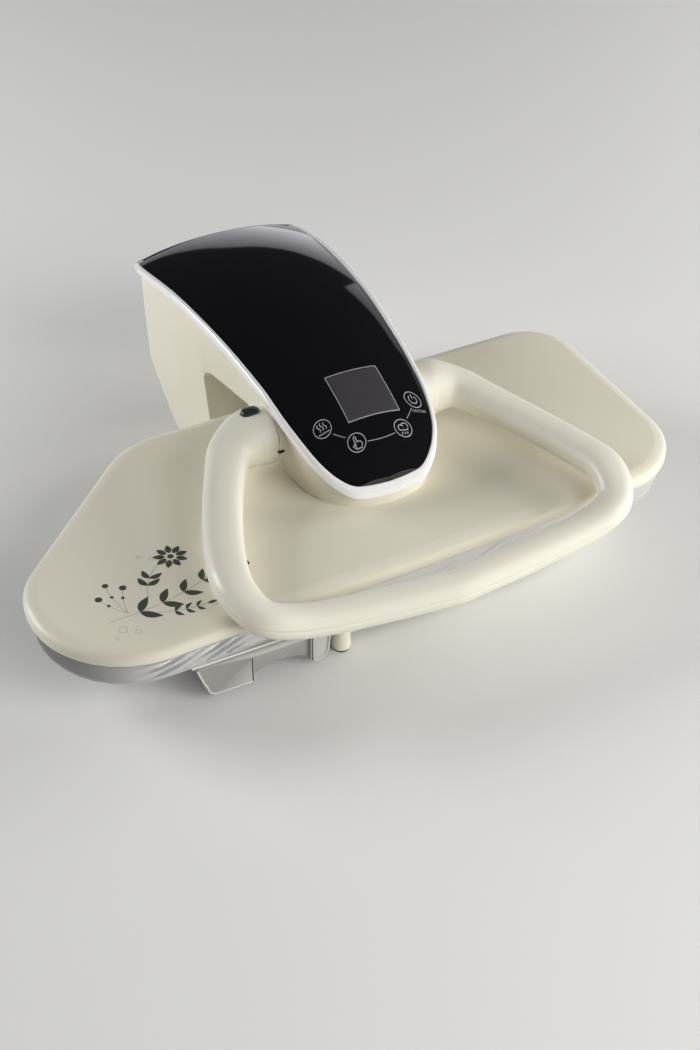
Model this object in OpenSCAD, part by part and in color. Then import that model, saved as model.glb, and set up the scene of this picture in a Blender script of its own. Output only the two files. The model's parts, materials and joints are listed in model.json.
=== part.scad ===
// Steam ironing press: a padded board on a low base, a C-shaped arm behind it that
// carries the heated shoe, a loop handle that presses the shoe down, and a pull-out tank.
// Lengths are in millimetres. While the parts are drawn, x is measured from the middle of
// the arm, y grows to the back and z is the height above the table; "placed" then puts the
// whole press over the middle of its own outline.

/* [Board] */
// Length of the shoe, left to right
board_l = 678; // [650:1:690]
// Front-to-back size of the shoe
board_d = 314; // [308:1:320]
// How far the arm stands to the right of the middle of the board
arm_shift = 27; // [20:1:34]
// Radius of the rounded nose at the front left
nose_r = 96; // [84:1:97]
// Radius of the front right corner
front_r = 82; // [70:1:88]
// Radius of the back right corner
back_r = 54; // [44:1:60]
// Length of the slanted cut at the back left, along the back edge
cut_x = 171; // [150:1:180]
// Length of the slanted cut at the back left, along the left end
cut_y = 180; // [165:1:190]

/* [Stack] */
// Gap between the base and the table
leg_h = 8; // [7:0.5:10]
// Height of the base pan
pan_h = 43; // [42:1:46]
// Height of the board frame
frame_h = 12; // [11:0.5:14]
// Thickness of the foam pad
pad_t = 10.8; // [9:0.2:12]
// Thickness of the silver cloth
cloth_t = 1.2; // [0.8:0.1:1.4]
// Gap between the closed shoe and the cloth
press_gap = 0.3; // [0.2:0.1:0.5]
// How far the sole plate stands below the shoe cover
plate_proud = 3.7; // [3.2:0.1:4.2]
// Height of the shoe cover
cover_h = 16; // [16:0.5:18]
// Wall of the shoe cover
cover_wall = 3; // [2.4:0.1:3.2]
// Thickness of the sole plate
plate_t = 5; // [4.6:0.1:5.4]

/* [Arm] */
// Wall of the moulded arm, head and base
wall = 2.6; // [2.2:0.1:3]
// Thickness of the glossy hood panel
hood_t = 2.4; // [2:0.1:2.8]
// Rise of the hood panel over its rim
hood_crown = 16; // [12:1:18]
// Side of the square display
display_w = 54; // [46:1:58]
// Distance of the display from the head's middle
display_off = 6.5; // [0:0.5:7]
// How far the arm opens, in degrees
open_deg = 42; // [30:1:42]

/* [Hinge] */
// Distance of the hinge axis behind the neck centre
hinge_y = 225; // [222:1:228]
// Height of the hinge axis above the table
hinge_z = 40; // [39:0.5:42]
// Radius of the hinge shaft
hinge_r = 7; // [6:0.5:8]
// Running clearance of shafts in their bushes
run_gap = 0.05; // [0.02:0.01:0.1]
// Thickness of the steel side plates
steel_t = 3; // [2.5:0.5:3]
// Half the width of the base tongue that the arm closes over
tongue_hw = 58; // [54:1:58]

/* [Handle] */
// Wall of the two handle halves
handle_wall = 3; // [2.4:0.2:3.4]
// Radius of the handle shaft
grip_shaft_r = 8; // [7:0.5:9]
// How far the handle lifts, in degrees
lift_deg = 25; // [20:1:25]
// How far the shoe rises when the handle is lifted
float_h = 4; // [3:0.5:4]
// Length of the oval button
button_l = 19; // [16:1:20]
// Width of the oval button
button_w = 13; // [10:1:13]
// Travel of the button
button_travel = 2.5; // [2:0.5:3]

/* [Tank] */
// Width of the tank
tank_w = 136; // [126:1:140]
// Front-to-back length of the tank
tank_d = 132; // [120:1:134]
// Wall of the tank
tank_wall = 2.2; // [1.8:0.1:2.6]
// Width of the finger recess in the tank
grip_w = 58; // [50:1:64]
// Distance of the finger recess from the tank's middle
grip_off = 18; // [10:1:20]
// Clearance around the tank
tank_gap = 0.3; // [0.2:0.05:0.4]

/* [Hidden] */
$fn = 48;
eps = 0.01;
seam = 0.6;

// Heights of the stack
pan_z = leg_h;
frame_z = pan_z + pan_h;
pad_z = frame_z + frame_h;
cloth_z = pad_z + pad_t + cloth_t;
plate_z = cloth_z + press_gap;
cover_z = plate_z + plate_proud;
top_z = cover_z + cover_h;
plate_top = plate_z + plate_t;

// Edges of the board
x_l = -board_l / 2 - arm_shift;
x_r = board_l / 2 - arm_shift;
y_b = 132;
y_f = y_b - board_d;

// Outline of the shoe from above: [x, y, corner radius]
corners = [[x_l, y_f - 2.5, nose_r], [0, y_f + 10.5, 400], [x_r - 4, y_f + 25.5, front_r],
    [x_r, y_b, back_r], [x_l + cut_x, y_b - 6, 90], [x_l, y_b - cut_y, 80]];

// Half outline of the head's rim from above: [half width, y]
rim_plan = [[0, -87], [20, -86], [38, -83], [52, -74], [63, -61], [71, -42], [78, -8],
    [82, 34], [86, 78], [92, 148], [96, 211], [99, 270], [99, 310], [96, 329]];
// Height of the rim over the shoe's top along the head: [y, height]
rim_side = [[-92, 12], [-87, 18], [-80, 25], [-70, 34], [-58, 44], [-42, 54], [-20, 64],
    [5, 73], [34, 82], [78, 90], [120, 95], [165, 97], [211, 96], [250, 92], [290, 85],
    [330, 76], [336, 75]];
rim_t = 7;
rim_end = 329;
rim_drop = 8;
rim_seat = rim_drop + 0.6;

// The handle's right half: [x, y, height over the shoe's top, width, thickness]
grip_x = 81;
grip_y = 22;
grip_z = 38;
grip_path = [[grip_x, grip_y, grip_z, 57, 55], [grip_x + 3, grip_y, grip_z, 57, 55],
    [grip_x + 21, grip_y, grip_z, 56, 54],
    [125, 11, 36, 45, 39], [141, -13, 32.5, 40.5, 33], [156.5, -42, 29.5, 38.5, 29],
    [175, -83, 25.5, 38, 28], [190, -124, 23, 38, 28], [197, -156, 21, 37, 28.5],
    [192, -182, 12.5, 34.5, 29], [178, -196, 5, 33, 30], [141, -201.5, -5, 31.5, 30.5],
    [75, -207.5, -10, 31, 31], [0, -214, -12, 31, 31]];
grip_axis_z = top_z + grip_z;

// Outline of the press, for its place in the frame
y_front = -214 - 31 / 2;
y_back = 329;
function placed_shift() = [arm_shift, -(y_front + y_back) / 2, 0];
module placed() translate(placed_shift()) children();

// Functions that all pieces share
function unit(v) = v / norm(v);
function turn(v) = [v[1], -v[0]];
// Points on a rounded corner b between a and c
function corner(a, b, c, r, n) =
    let (u = unit(a - b), v = unit(c - b), h = acos(max(-1, min(1, u * v))) / 2,
        m = b + unit(u + v) * r / sin(h), p = b + u * r / tan(h) - m, q = b + v * r / tan(h) - m,
        t0 = atan2(p[1], p[0]), t1 = atan2(q[1], q[0]), d = (t1 - t0 + 540) % 360 - 180)
    [for (k = [0 : n]) m + r * [cos(t0 + d * k / n), sin(t0 + d * k / n)]];
function xy(p) = [p[0], p[1]];
function rounded(c, n) = [for (i = [0 : len(c) - 1])
    each corner(xy(c[(i + len(c) - 1) % len(c)]), xy(c[i]), xy(c[(i + 1) % len(c)]), c[i][2], n)];
// Move every edge of a counter-clockwise outline inwards by d
function inset(p, d) = [for (i = [0 : len(p) - 1])
    let (a = p[(i + len(p) - 1) % len(p)], b = p[i], c = p[(i + 1) % len(p)],
        n1 = -unit(turn(b - a)), n2 = -unit(turn(c - b)))
    b + d * (n1 + n2) / max(0.5, 1 + n1 * n2)];
// Smooth curve through points
function spline(p, m) = [for (i = [0 : len(p) - 2]) each [for (k = [0 : m - 1])
        let (a = p[max(i - 1, 0)], b = p[i], c = p[i + 1], e = p[min(i + 2, len(p) - 1)], t = k / m)
        (2 * b + (c - a) * t + (2 * a - 5 * b + 4 * c - e) * t * t
            + (3 * b - a - 3 * c + e) * t * t * t) / 2], p[len(p) - 1]];
function reverse(v) = [for (i = [len(v) - 1 : -1 : 0]) v[i]];
// Value of a [key, value] table at x
function at(t, x, i = 0) = i >= len(t) - 2 || x <= t[i + 1][0]
    ? t[i][1] + (t[i + 1][1] - t[i][1]) * (x - t[i][0]) / (t[i + 1][0] - t[i][0])
    : at(t, x, i + 1);
// Skin over closed rings that all hold the same number of points
module skin(r) {
    n = len(r[0]);
    m = len(r);
    polyhedron([for (a = r) each a], concat(
        [for (j = [0 : m - 2], i = [0 : n - 1]) each
            [[j * n + i, (j + 1) * n + i, (j + 1) * n + (i + 1) % n],
            [j * n + i, (j + 1) * n + (i + 1) % n, j * n + (i + 1) % n]]],
        [[for (i = [0 : n - 1]) i]], [[for (i = [n - 1 : -1 : 0]) (m - 1) * n + i]]));
}
// Skin over sections that follow a closed loop
module loop_skin(r) {
    n = len(r[0]);
    m = len(r);
    polyhedron([for (a = r) each a], [for (j = [0 : m - 1], i = [0 : n - 1])
        let (u = (j + 1) % m, v = (i + 1) % n) each
            [[j * n + i, u * n + i, u * n + v], [j * n + i, u * n + v, j * n + v]]]);
}
function lift(p, z) = [for (q = p) [q[0], q[1], z]];
// Solid with the outline p, drawn in by d at each height: steps = [[z, d], ...]
module stacked(p, steps) skin([for (s = steps) lift(inset(p, s[1]), s[0])]);
module prism(p, z0, z1) translate([0, 0, z0]) linear_extrude(z1 - z0) polygon(p);
// Extrude an outline given as [y, z] along x from x0 to x1
module side(p, x0, x1) translate([x0, 0, 0]) rotate([90, 0, 90]) linear_extrude(x1 - x0) polygon(p);
// Cylinder along x or y between two ends
module along_x(x0, x1, r) translate([x0, 0, 0]) rotate([0, 90, 0]) cylinder(r = r, h = x1 - x0);
module along_y(y0, y1, r) translate([0, y0, 0]) rotate([-90, 0, 0]) cylinder(r = r, h = y1 - y0);
module block(a, b) translate(a) cube(b - a);
module both() { children(); mirror([1, 0, 0]) children(); }
// Direction of travel at point i of a path
function heading(p, i) = unit(xyz(p[min(i + 1, len(p) - 1)]) - xyz(p[max(i - 1, 0)]));
function xyz(q) = [q[0], q[1], q[2]];
function flank(t) = unit(cross([0, 0, 1], t) + [eps / 100, 0, 0]);
// Round tube along a path of points
module hose(path, r, n = 8) {
    p = spline(path, 2);
    skin([for (i = [0 : len(p) - 1]) let (t = heading(p, i), a = flank(t), b = cross(t, a))
        [for (k = [0 : n - 1]) p[i] + r * (a * cos(360 * k / n) + b * sin(360 * k / n))]]);
}
// Coil spring standing on z0
module coil(z0, z1, r, wire, turns) {
    m = turns * 8;
    skin([for (i = [0 : m]) let (a = 360 * i / 8, z = z0 + wire + (z1 - z0 - 2 * wire) * i / m)
        [for (k = [0 : 5]) let (q = r + wire * cos(60 * k))
            [q * cos(a), q * sin(a), z + wire * sin(60 * k)]]]);
}
// Screw with a round head under z and its shank above
module screw_up(z, shank, r = 2, head_r = 4) {
    translate([0, 0, z - 2]) cylinder(r = head_r, h = 2);
    translate([0, 0, z - eps]) cylinder(r = r, h = shank);
}
module at_each(p) for (q = p) translate([q[0], q[1], 0]) children();

// Outlines of the shoe and the head
shoe = rounded(corners, 8);
head_half = spline(rim_plan, 3);
// Rim outline, counter-clockwise from the tip
head = concat(head_half, [for (q = reverse([for (i = [1 : len(head_half) - 1]) head_half[i]]))
        [-q[0], q[1]]]);
rim = spline(rim_side, 2);
function rim_z(y) = top_z + at(rim, y);

// Base
tank_x = -175;
tank_y = -170;
bay_x = tank_x + tank_w / 2 + 6;
bay_y = tank_y + tank_d + 5;
pan_l = -222;
pan_r = 222;
pan_f = -150;
pan_b = 118;
tongue_r = 24;
tongue_end = hinge_y + tongue_r;
pan_outline = [[bay_x, pan_f], [pan_r - 104, pan_f], [pan_r - 14, pan_f + 23], [pan_r, pan_f + 38],
    [pan_r, pan_b], [pan_l, pan_b], [pan_l, bay_y], [bay_x, bay_y]];
tongue_side = [[pan_b - 6, pan_z], [hinge_y - 44, pan_z], [hinge_y - tongue_r, hinge_z - tongue_r],
    [hinge_y + 2, hinge_z - tongue_r], [hinge_y + 17, hinge_z - 17], [tongue_end, hinge_z],
    [tongue_end, frame_z - 1], [pan_b - 6, frame_z - 1]];
legs = [[bay_x + 11, pan_f - 6], [pan_r - 14, pan_f + 40], [pan_l + 22, pan_b - 20],
    [pan_r - 22, pan_b - 20], [-46, hinge_y - 58], [46, hinge_y - 58]];
leg_r = 9;
foot_t = 3;
board_posts = [[-190, 0], [-190, 95], [190, 95], [190, -120], [-70, -120], [40, -120]];
bracket_x = 40;
bracket_y0 = hinge_y - 90;
bracket_holes = [[-28, bracket_y0 + 10], [28, bracket_y0 + 10], [-28, bracket_y0 + 32],
    [28, bracket_y0 + 32]];
pump_pos = [60, 60, pan_z + wall + 17];
pump_r = 14;
pump_feet = [[-14, -12], [14, -12], [-14, 12], [14, 12]];
coupling_z = pan_z + 18;
inlet_pos = [160, pan_b, pan_z + 22];
gland_r = 8;
gland_bore = 3.8;

module base_pan() color("ivory") placed() difference() {
    union() {
        prism(pan_outline, pan_z, frame_z - eps);
        side(tongue_side, -tongue_hw, tongue_hw);
        at_each(legs) translate([0, 0, foot_t]) cylinder(r = leg_r, h = leg_h + 16);
    }
    difference() {
        prism(inset(pan_outline, wall), pan_z + wall, frame_z + 1);
        at_each(legs) translate([0, 0, foot_t]) cylinder(r = leg_r, h = leg_h + 16);
        at_each(board_posts) cylinder(r = 6, h = frame_z);
    }
    side(inset(tongue_side, wall), -tongue_hw + wall, tongue_hw - wall);
    block([-tongue_hw + wall, pan_b - wall - 4, pan_z + wall], [tongue_hw - wall, pan_b + 8, frame_z + 1]);
    block([-tongue_hw + wall, pan_b - wall - 4, hinge_z], [tongue_hw - wall, tongue_end - wall, frame_z + 1]);
    at_each(board_posts) cylinder(r = 2.1, h = frame_z + 1);
    at_each(board_posts) cylinder(r = 4.2, h = pan_z + 3);
    at_each(bracket_holes) cylinder(r = 2.1, h = pan_z + 10);
    translate([0, hinge_y, hinge_z]) along_x(-tongue_hw - 1, tongue_hw + 1, hinge_r + 1.5);
    translate([tank_x, 0, coupling_z]) along_y(bay_y - 1, bay_y + wall + 1, 9.2);
    translate([inlet_pos[0], 0, inlet_pos[2]]) along_y(pan_b - wall - 1, pan_b + 1, gland_r + 0.2);
}

module base_feet() color("dimgray") placed() at_each(legs) cylinder(r = leg_r - 1.5, h = foot_t - eps);

module base_screws() color("silver") placed() at_each(board_posts)
    screw_up(pan_z + 3, frame_z - pan_z + 2, 1.9, 4);

frame_inset = 9;
frame_holes = [for (i = [-4 : 5], j = [-1 : 1]) [i * 44 - 14, j * 64 - 24]];
module board_frame() color("gainsboro") placed() difference() {
    prism(inset(shoe, frame_inset), frame_z, pad_z - eps);
    difference() {
        prism(inset(shoe, frame_inset + 3), frame_z - 1, pad_z - 3);
        for (y = [-120, -60, 0, 60]) block([x_l, y - 1, frame_z - 2], [x_r, y + 1, pad_z]);
        for (x = [-250, -150, -50, 50, 150, 250]) block([x - 1, y_f, frame_z - 2], [x + 1, y_b, pad_z]);
        at_each(board_posts) cylinder(r = 6, h = pad_z);
        block([-20, hinge_y - 150, frame_z - 2], [20, hinge_y - 90, pad_z]);
    }
    at_each(board_posts) translate([0, 0, frame_z - 1]) cylinder(r = 2.0, h = 8);
    at_each(frame_holes) translate([0, 0, pad_z - 4]) cylinder(r = 4, h = 6);
}

pad_inset = 7.8;
module board_pad() color("whitesmoke") placed() stacked(shoe,
    [[pad_z, pad_inset + 1.2], [pad_z + 2, pad_inset], [pad_z + pad_t - 5, pad_inset],
    [pad_z + pad_t - 1.8, pad_inset + 1.6], [pad_z + pad_t - eps, pad_inset + 7]]);

cloth_inset = pad_inset - cloth_t - 0.3;
module board_cover() color("silver") placed() difference() {
    stacked(shoe, [[frame_z + 0.4, cloth_inset + 9], [frame_z + 2, cloth_inset + 2.4],
        [frame_z + 5, cloth_inset + 0.4], [pad_z + 2, cloth_inset], [cloth_z - 6.4, cloth_inset],
        [cloth_z - 2.2, cloth_inset + 1.7], [cloth_z, cloth_inset + 7.4]]);
    stacked(shoe, [[frame_z - 1, frame_inset - 0.3], [pad_z - 1, frame_inset - 0.3],
        [pad_z + 0.6, pad_inset - 0.3], [cloth_z - cloth_t - 5, pad_inset - 0.3],
        [cloth_z - cloth_t - 1.8, pad_inset + 1.3], [cloth_z - cloth_t, pad_inset + 6.7]]);
}

spring_y = 262;
spring_low = hinge_z + 28;
// Steel bracket that stands in the tongue and carries the hinge shaft
cheek = concat([[bracket_y0, pan_z + wall + eps], [hinge_y - 50, pan_z + wall + eps],
        [hinge_y - 24, hinge_z - tongue_r + wall + 2]],
    [for (a = [-80 : 20 : 40]) [hinge_y + 18 * cos(a), hinge_z + 18 * sin(a)]],
    [[spring_y + 6, spring_low - 6], [spring_y + 6, spring_low], [spring_y - 6, spring_low]],
    [for (a = [60 : 20 : 160]) [hinge_y + 18 * cos(a), hinge_z + 18 * sin(a)]],
    [[bracket_y0, pan_z + wall + 24]]);
bush_t = 6;
module hinge_bracket() color("slategray") placed() difference() {
    union() {
        both() side(cheek, bracket_x, bracket_x + steel_t);
        block([-bracket_x - eps, bracket_y0, pan_z + wall + eps],
            [bracket_x + eps, bracket_y0 + 40, pan_z + wall + steel_t]);
    }
    translate([0, hinge_y, hinge_z]) along_x(-bracket_x - 9, bracket_x + 9, hinge_r + 3);
    at_each(bracket_holes) cylinder(r = 2.1, h = 60);
}
module hinge_bushes() color("goldenrod") placed() both() translate([0, hinge_y, hinge_z]) difference() {
    union() {
        along_x(bracket_x - 1.5, bracket_x + steel_t + 1.5, hinge_r + 3 - eps);
        along_x(bracket_x - 1.5, bracket_x - eps, hinge_r + 5);
    }
    along_x(bracket_x - 3, bracket_x + steel_t + 3, hinge_r + run_gap);
}
module bracket_screws() color("silver") placed() at_each(bracket_holes)
    screw_up(pan_z, wall + steel_t + 3, 1.9, 3.6);

module water_pump() color("lightsteelblue") placed() translate(pump_pos) difference() {
    union() {
        along_x(-24, 20, pump_r);
        along_x(-34, -23, 5);
        along_x(19, 30, 5);
        along_x(-42, -33, 3);
        along_x(29, 38, 3);
        block([-18, -16, -pump_r], [18, 16, -pump_r + 4]);
    }
    at_each(pump_feet) translate([0, 0, -pump_r - 1]) cylinder(r = 2.1, h = 8);
}
module pump_mounts() color("dimgray") placed() translate([pump_pos[0], pump_pos[1], 0])
    at_each(pump_feet) translate([0, 0, pan_z + wall]) {
        cylinder(r = 4, h = 17 - pump_r);
        cylinder(r = 2, h = 17 - pump_r + 3);
    }

rail_z = frame_z - 4;
lid_t = 2;
module tank_rails() color("ivory") placed() {
    for (s = [0, 1]) translate([tank_x, 0, 0]) mirror([s, 0, 0]) {
        block([tank_w / 2 + 3.4, tank_y + 22, rail_z - 3], [tank_w / 2 + 5.4, tank_y + tank_d - 6, frame_z]);
        block([tank_w / 2 + 0.5, tank_y + 22, rail_z - 3],
            [tank_w / 2 + 5.4, tank_y + tank_d - 6, rail_z - lid_t + 0.7]);
    }
}
module tank_coupling() color("white") placed() translate([tank_x, 0, coupling_z]) difference() {
    union() {
        along_y(bay_y - 1, bay_y + 14, 9);
        along_y(bay_y + wall + eps, bay_y + wall + 3, 12);
        along_y(bay_y + 13, bay_y + 24, 3);
    }
    along_y(bay_y - 2, bay_y + 12, 6.3);
    along_y(bay_y + 11, bay_y + 25, 1.8);
}
hose_r = 4.4;
module suction_hose() color("lightgray") placed() difference() {
    hose([[tank_x, bay_y + 24.3, coupling_z], [tank_x + 4, bay_y + 44, coupling_z],
        [-150, 36, coupling_z], [-110, 58, coupling_z + 2], [-60, pump_pos[1] + 6, pump_pos[2]],
        [-20, pump_pos[1], pump_pos[2]], [pump_pos[0] - 42.3, pump_pos[1], pump_pos[2]]], hose_r);
}
loom_r = 3;
module lower_hose() color("lightgray") placed() hose([[pump_pos[0] + 38.3, pump_pos[1], pump_pos[2]],
    [118, 62, pump_pos[2]], [124, 80, pump_pos[2] - 2], [100, 98, 30], [50, 106, 34], [22, 124, 40],
    [20, 160, 44], [20, 200, 50], [20, 225, link_z - 9], [20, link_y, link_z - 3],
    [20, link_y, link_z]], hose_r - 0.4);
module base_loom() color("black") placed() hose([[150, -22, pan_z + wall + 9.9], [152, -2, 21],
    [152, 60, 18], [136, 98, 17], [100, 108, 17], [50, 110, 18], [4, 114, 24], [-16, 130, 33],
    [-20, 160, 40], [-20, 200, 50], [-20, 225, link_z - 9], [-20, link_y, link_z - 3],
    [-20, link_y, link_z]], loom_r);
module power_board() color("seagreen") placed() translate([150, -60, pan_z + wall]) {
    block([-50, -40, 5], [50, 40, 6.6]);
    for (x = [-44, 44], y = [-34, 34]) translate([x, y, 0]) cylinder(r = 3, h = 5 + eps);
    block([-36, -24, 6.5], [-12, 0, 24]);
    block([0, -30, 6.5], [26, 4, 20]);
    translate([-24, 22, 6.5]) cylinder(r = 7, h = 18);
    translate([16, 22, 6.5]) cylinder(r = 5, h = 14);
}
module cord_inlet() color("dimgray") placed() translate([inlet_pos[0], 0, inlet_pos[2]]) difference() {
    union() {
        along_y(pan_b - wall - 8, pan_b + 1, gland_r);
        along_y(pan_b + eps, pan_b + 3, gland_r + 3);
        along_y(pan_b + 2.9, pan_b + 14, gland_r - 1);
    }
    along_y(pan_b - wall - 9, pan_b + 15, gland_bore);
}

// Tank
tank_z = leg_h + 1;
tank_top = rail_z - lid_t + 1;
tank_front = rounded([[-tank_w / 2 + 12, tank_z, 9], [tank_w / 2 - 3, tank_z, 9],
        [tank_w / 2, tank_top, 3], [-tank_w / 2, tank_top, 3]], 5);
grip_h = 12;
grip_deep = 20;
panel_h = 29;
panel_deep = 5;
// Finger recess in the tank's front, grown by g: a set-back panel over an arched notch
module tank_grip(g) translate([grip_off, tank_y - 1, 0]) {
    block([-grip_w / 2 - g, 0, tank_z - 1], [grip_w / 2 + g, panel_deep + g, tank_z + panel_h + g]);
    block([-grip_w / 2 - g, 0, tank_z - 1], [grip_w / 2 + g, grip_deep + g, tank_z + grip_h - 9 + g]);
    intersection() {
        block([-grip_w / 2 - g, 0, tank_z], [grip_w / 2 + g, grip_deep + g, tank_z + grip_h + g]);
        translate([0, 0, tank_z + grip_h - 55]) along_y(0, grip_deep + g, 55 + g);
    }
}
module tank_long(p, y0, y1) translate([0, y1, 0]) rotate([90, 0, 0]) linear_extrude(y1 - y0) polygon(p);
module tank_body() color("lightslategray", 0.6) placed() translate([tank_x, 0, 0]) difference() {
    tank_long(tank_front, tank_y, tank_y + tank_d);
    difference() {
        union() {
            tank_long(inset(tank_front, tank_wall), tank_y + tank_wall, tank_y + tank_d - tank_wall);
            block([-tank_w / 2 + tank_wall + 1, tank_y + tank_wall, tank_top - 8],
                [tank_w / 2 - tank_wall - 1, tank_y + tank_d - tank_wall, tank_top + 1]);
        }
        tank_grip(tank_wall);
    }
    tank_grip(0);
    translate([0, 0, coupling_z]) along_y(tank_y + tank_d - tank_wall - 1, tank_y + tank_d + 1, 5.2);
}
module tank_lid() color("white") placed() translate([tank_x, 0, 0]) difference() {
    union() {
        block([-tank_w / 2 - 3, tank_y + 1, tank_top + eps],
            [tank_w / 2 + 3, tank_y + tank_d, tank_top + lid_t]);
        block([-tank_w / 2 + tank_wall + 1.3, tank_y + grip_deep + tank_wall + 2, tank_top - 3],
            [tank_w / 2 - tank_wall - 1.3, tank_y + tank_d - tank_wall - 0.3, tank_top + 0.5]);
    }
    block([-tank_w / 2 + tank_wall + 3, tank_y + grip_deep + tank_wall + 4, tank_top - 4],
        [tank_w / 2 - tank_wall - 3, tank_y + tank_d - tank_wall - 2, tank_top - eps]);
}
module tank_valve() color("white") placed() translate([tank_x, tank_y + tank_d, coupling_z]) difference() {
    union() {
        along_y(-tank_wall - 4, 0.5, 5.1);
        along_y(eps, 1.5, 8);
        along_y(1, 10, 5.9);
        along_y(-tank_wall - 6, -tank_wall - eps, 8);
    }
    along_y(-tank_wall - 7, 11, 2.2);
}
module tank_seal() color("black") placed() translate([tank_x, tank_y + tank_d, coupling_z])
    difference() {
        along_y(1.6, 3.7, 7.6);
        along_y(1, 5, 5.95);
    }

// Arm
plate_x = tongue_hw + 4;
// Side outline of the arm's moulded skin behind the neck
neck_y = 64;
skin_in = 4;
half_width = [for (q = head_half) [q[1], q[0]]];
skin_top = [for (q = reverse(rim)) if (q[0] > neck_y && q[0] < 318) [q[0], top_z + q[1] - rim_seat]];
skin_low = [[neck_y, top_z + 46], [110, top_z + 42], [146, top_z + 38], [157, top_z + 33],
    [162, top_z + 24], [153, top_z - 22], [151, top_z - 37], [hinge_y - 24, hinge_z - 29],
    [hinge_y + 13, hinge_z - 29], [303, hinge_z + 26], [309, top_z + 10],
    [316, rim_z(316) - rim_seat]];
arm_side = concat(skin_low, skin_top, [[neck_y, rim_z(neck_y) - rim_seat]]);
arm_back = 316;
skin_posts = [[250, top_z + 20], [284, top_z + 56], [110, top_z + 60]];
module head_prism(d, z0, z1) prism(inset(head, d), z0, z1);
module arm_housing() color("ivory") placed() difference() {
    intersection() {
        side(arm_side, -110, 110);
        head_prism(skin_in, 0, 300);
    }
    difference() {
        intersection() {
            side(inset(arm_side, wall), -110, 110);
            head_prism(skin_in + wall, -1, 300);
        }
        both() for (q = skin_posts) translate([0, q[0], q[1]]) along_x(plate_x + steel_t, 110, 6);
    }
    both() for (q = skin_posts) translate([0, q[0], q[1]]) along_x(plate_x, plate_x + 20, 1.9);
    intersection() {
        side([[neck_y - 5, top_z + 46 + wall], [neck_y + 8, top_z + 45 + wall],
            [arm_back - wall, top_z + 45 + wall],
            [arm_back - wall, 300], [neck_y - 5, 300]], -110, 110);
        head_prism(skin_in + wall, 0, 300);
    }
    block([-93 + wall, hinge_y - 60, 0], [93 - wall, hinge_y + 10, hinge_z - 29 + wall + 1]);
    block([-tongue_hw - 1.5, 140, 0], [tongue_hw + 1.5, hinge_y, frame_z + 4]);
    side([[140, 0], [hinge_y - 30, 0], [hinge_y - 26, hinge_z - 12], [170, frame_z + 4], [140, frame_z + 4]],
        -plate_x - steel_t - 1.5, plate_x + steel_t + 1.5);
}

// Front of the head: narrows down to the neck that stands on the shoe
neck_end = neck_y - 0.4;
neck_plan = [[0, -86], [24, -83], [44, -73], [58, -54], [67, -32], [70, -6], [71, 28], [71, neck_end]];
// Half width of the neck on the shoe, and of the head's underside, at each station
wide_plan = [[0, -83], [21, -81.6], [41, -76.6], [56, -64], [66, -44], [73, -10], [78, 32], [81, neck_end]];
function closed_plan(h) = concat(h, [for (q = reverse([for (i = [1 : len(h) - 1]) h[i]])) [-q[0], q[1]]]);
function neck_ring(z, k, g) = lift(inset(closed_plan(spline(neck_plan * (1 - k) + wide_plan * k, 3)), g), z);
function neck_rings(g, z0) = [neck_ring(z0, 0, g), neck_ring(top_z + 6, 0, g), neck_ring(top_z + 15, 0.3, g),
    neck_ring(top_z + 30, 0.7, g), neck_ring(top_z + 46, 1, g), neck_ring(top_z + 110, 1, g)];
neck_foot = closed_plan(spline(neck_plan, 3));
under_rim = concat([[-100, -20]], [[neck_y + 20, -20]],
    [[neck_y + 20, rim_z(neck_y + 20) - rim_seat]],
    [for (q = reverse(rim)) if (q[0] < neck_y + 16) [q[0], top_z + q[1] - rim_seat]],
    [[-100, top_z]]);
hub_r = 30;
module head_front() color("ivory") placed() difference() {
    intersection() {
        union() {
            skin(neck_rings(0, top_z - seam));
            both() translate([0, grip_y, grip_axis_z]) along_x(66, grip_x - 0.5, hub_r);
        }
        side(under_rim, -110, 110);
    }
    skin(neck_rings(wall, top_z - 2));
    block([-70, neck_y - 8, top_z + 48], [70, neck_y + 1, 300]);
    translate([0, grip_y, grip_axis_z]) along_x(-110, 110, grip_shaft_r + 4);
}

// Bright rim between the head and its hood panel, arched over the hood's back edge
rim_loop = concat(head_half, [for (k = [2 : 10]) [96 * cos(15 * k), rim_end]],
    [for (q = reverse([for (i = [1 : len(head_half) - 1]) head_half[i]])) [-q[0], q[1]]]);
function rim_top(q) = rim_z(q[1])
    + (q[1] > rim_end - 1 ? at(crown, rim_end) * max(0, 1 - pow(abs(q[0] / 96), 2.2)) : 0);
module rim_trim() color("gainsboro") placed() let (in = inset(rim_loop, rim_t), top = inset(rim_loop, 1.5))
    loop_skin([for (i = [0 : len(rim_loop) - 1]) let (q = rim_loop[i], z = rim_top(q))
        let (low = rim_z(in[i][1]), rise = low - rim_z(q[1]))
        [[q[0], q[1], rim_z(q[1]) - rim_drop], [in[i][0], in[i][1], low - rim_drop],
        [in[i][0], in[i][1], z + rise - 0.5], [top[i][0], top[i][1], z + rise / 4], [q[0], q[1], z - 1.8]]]);

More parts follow.
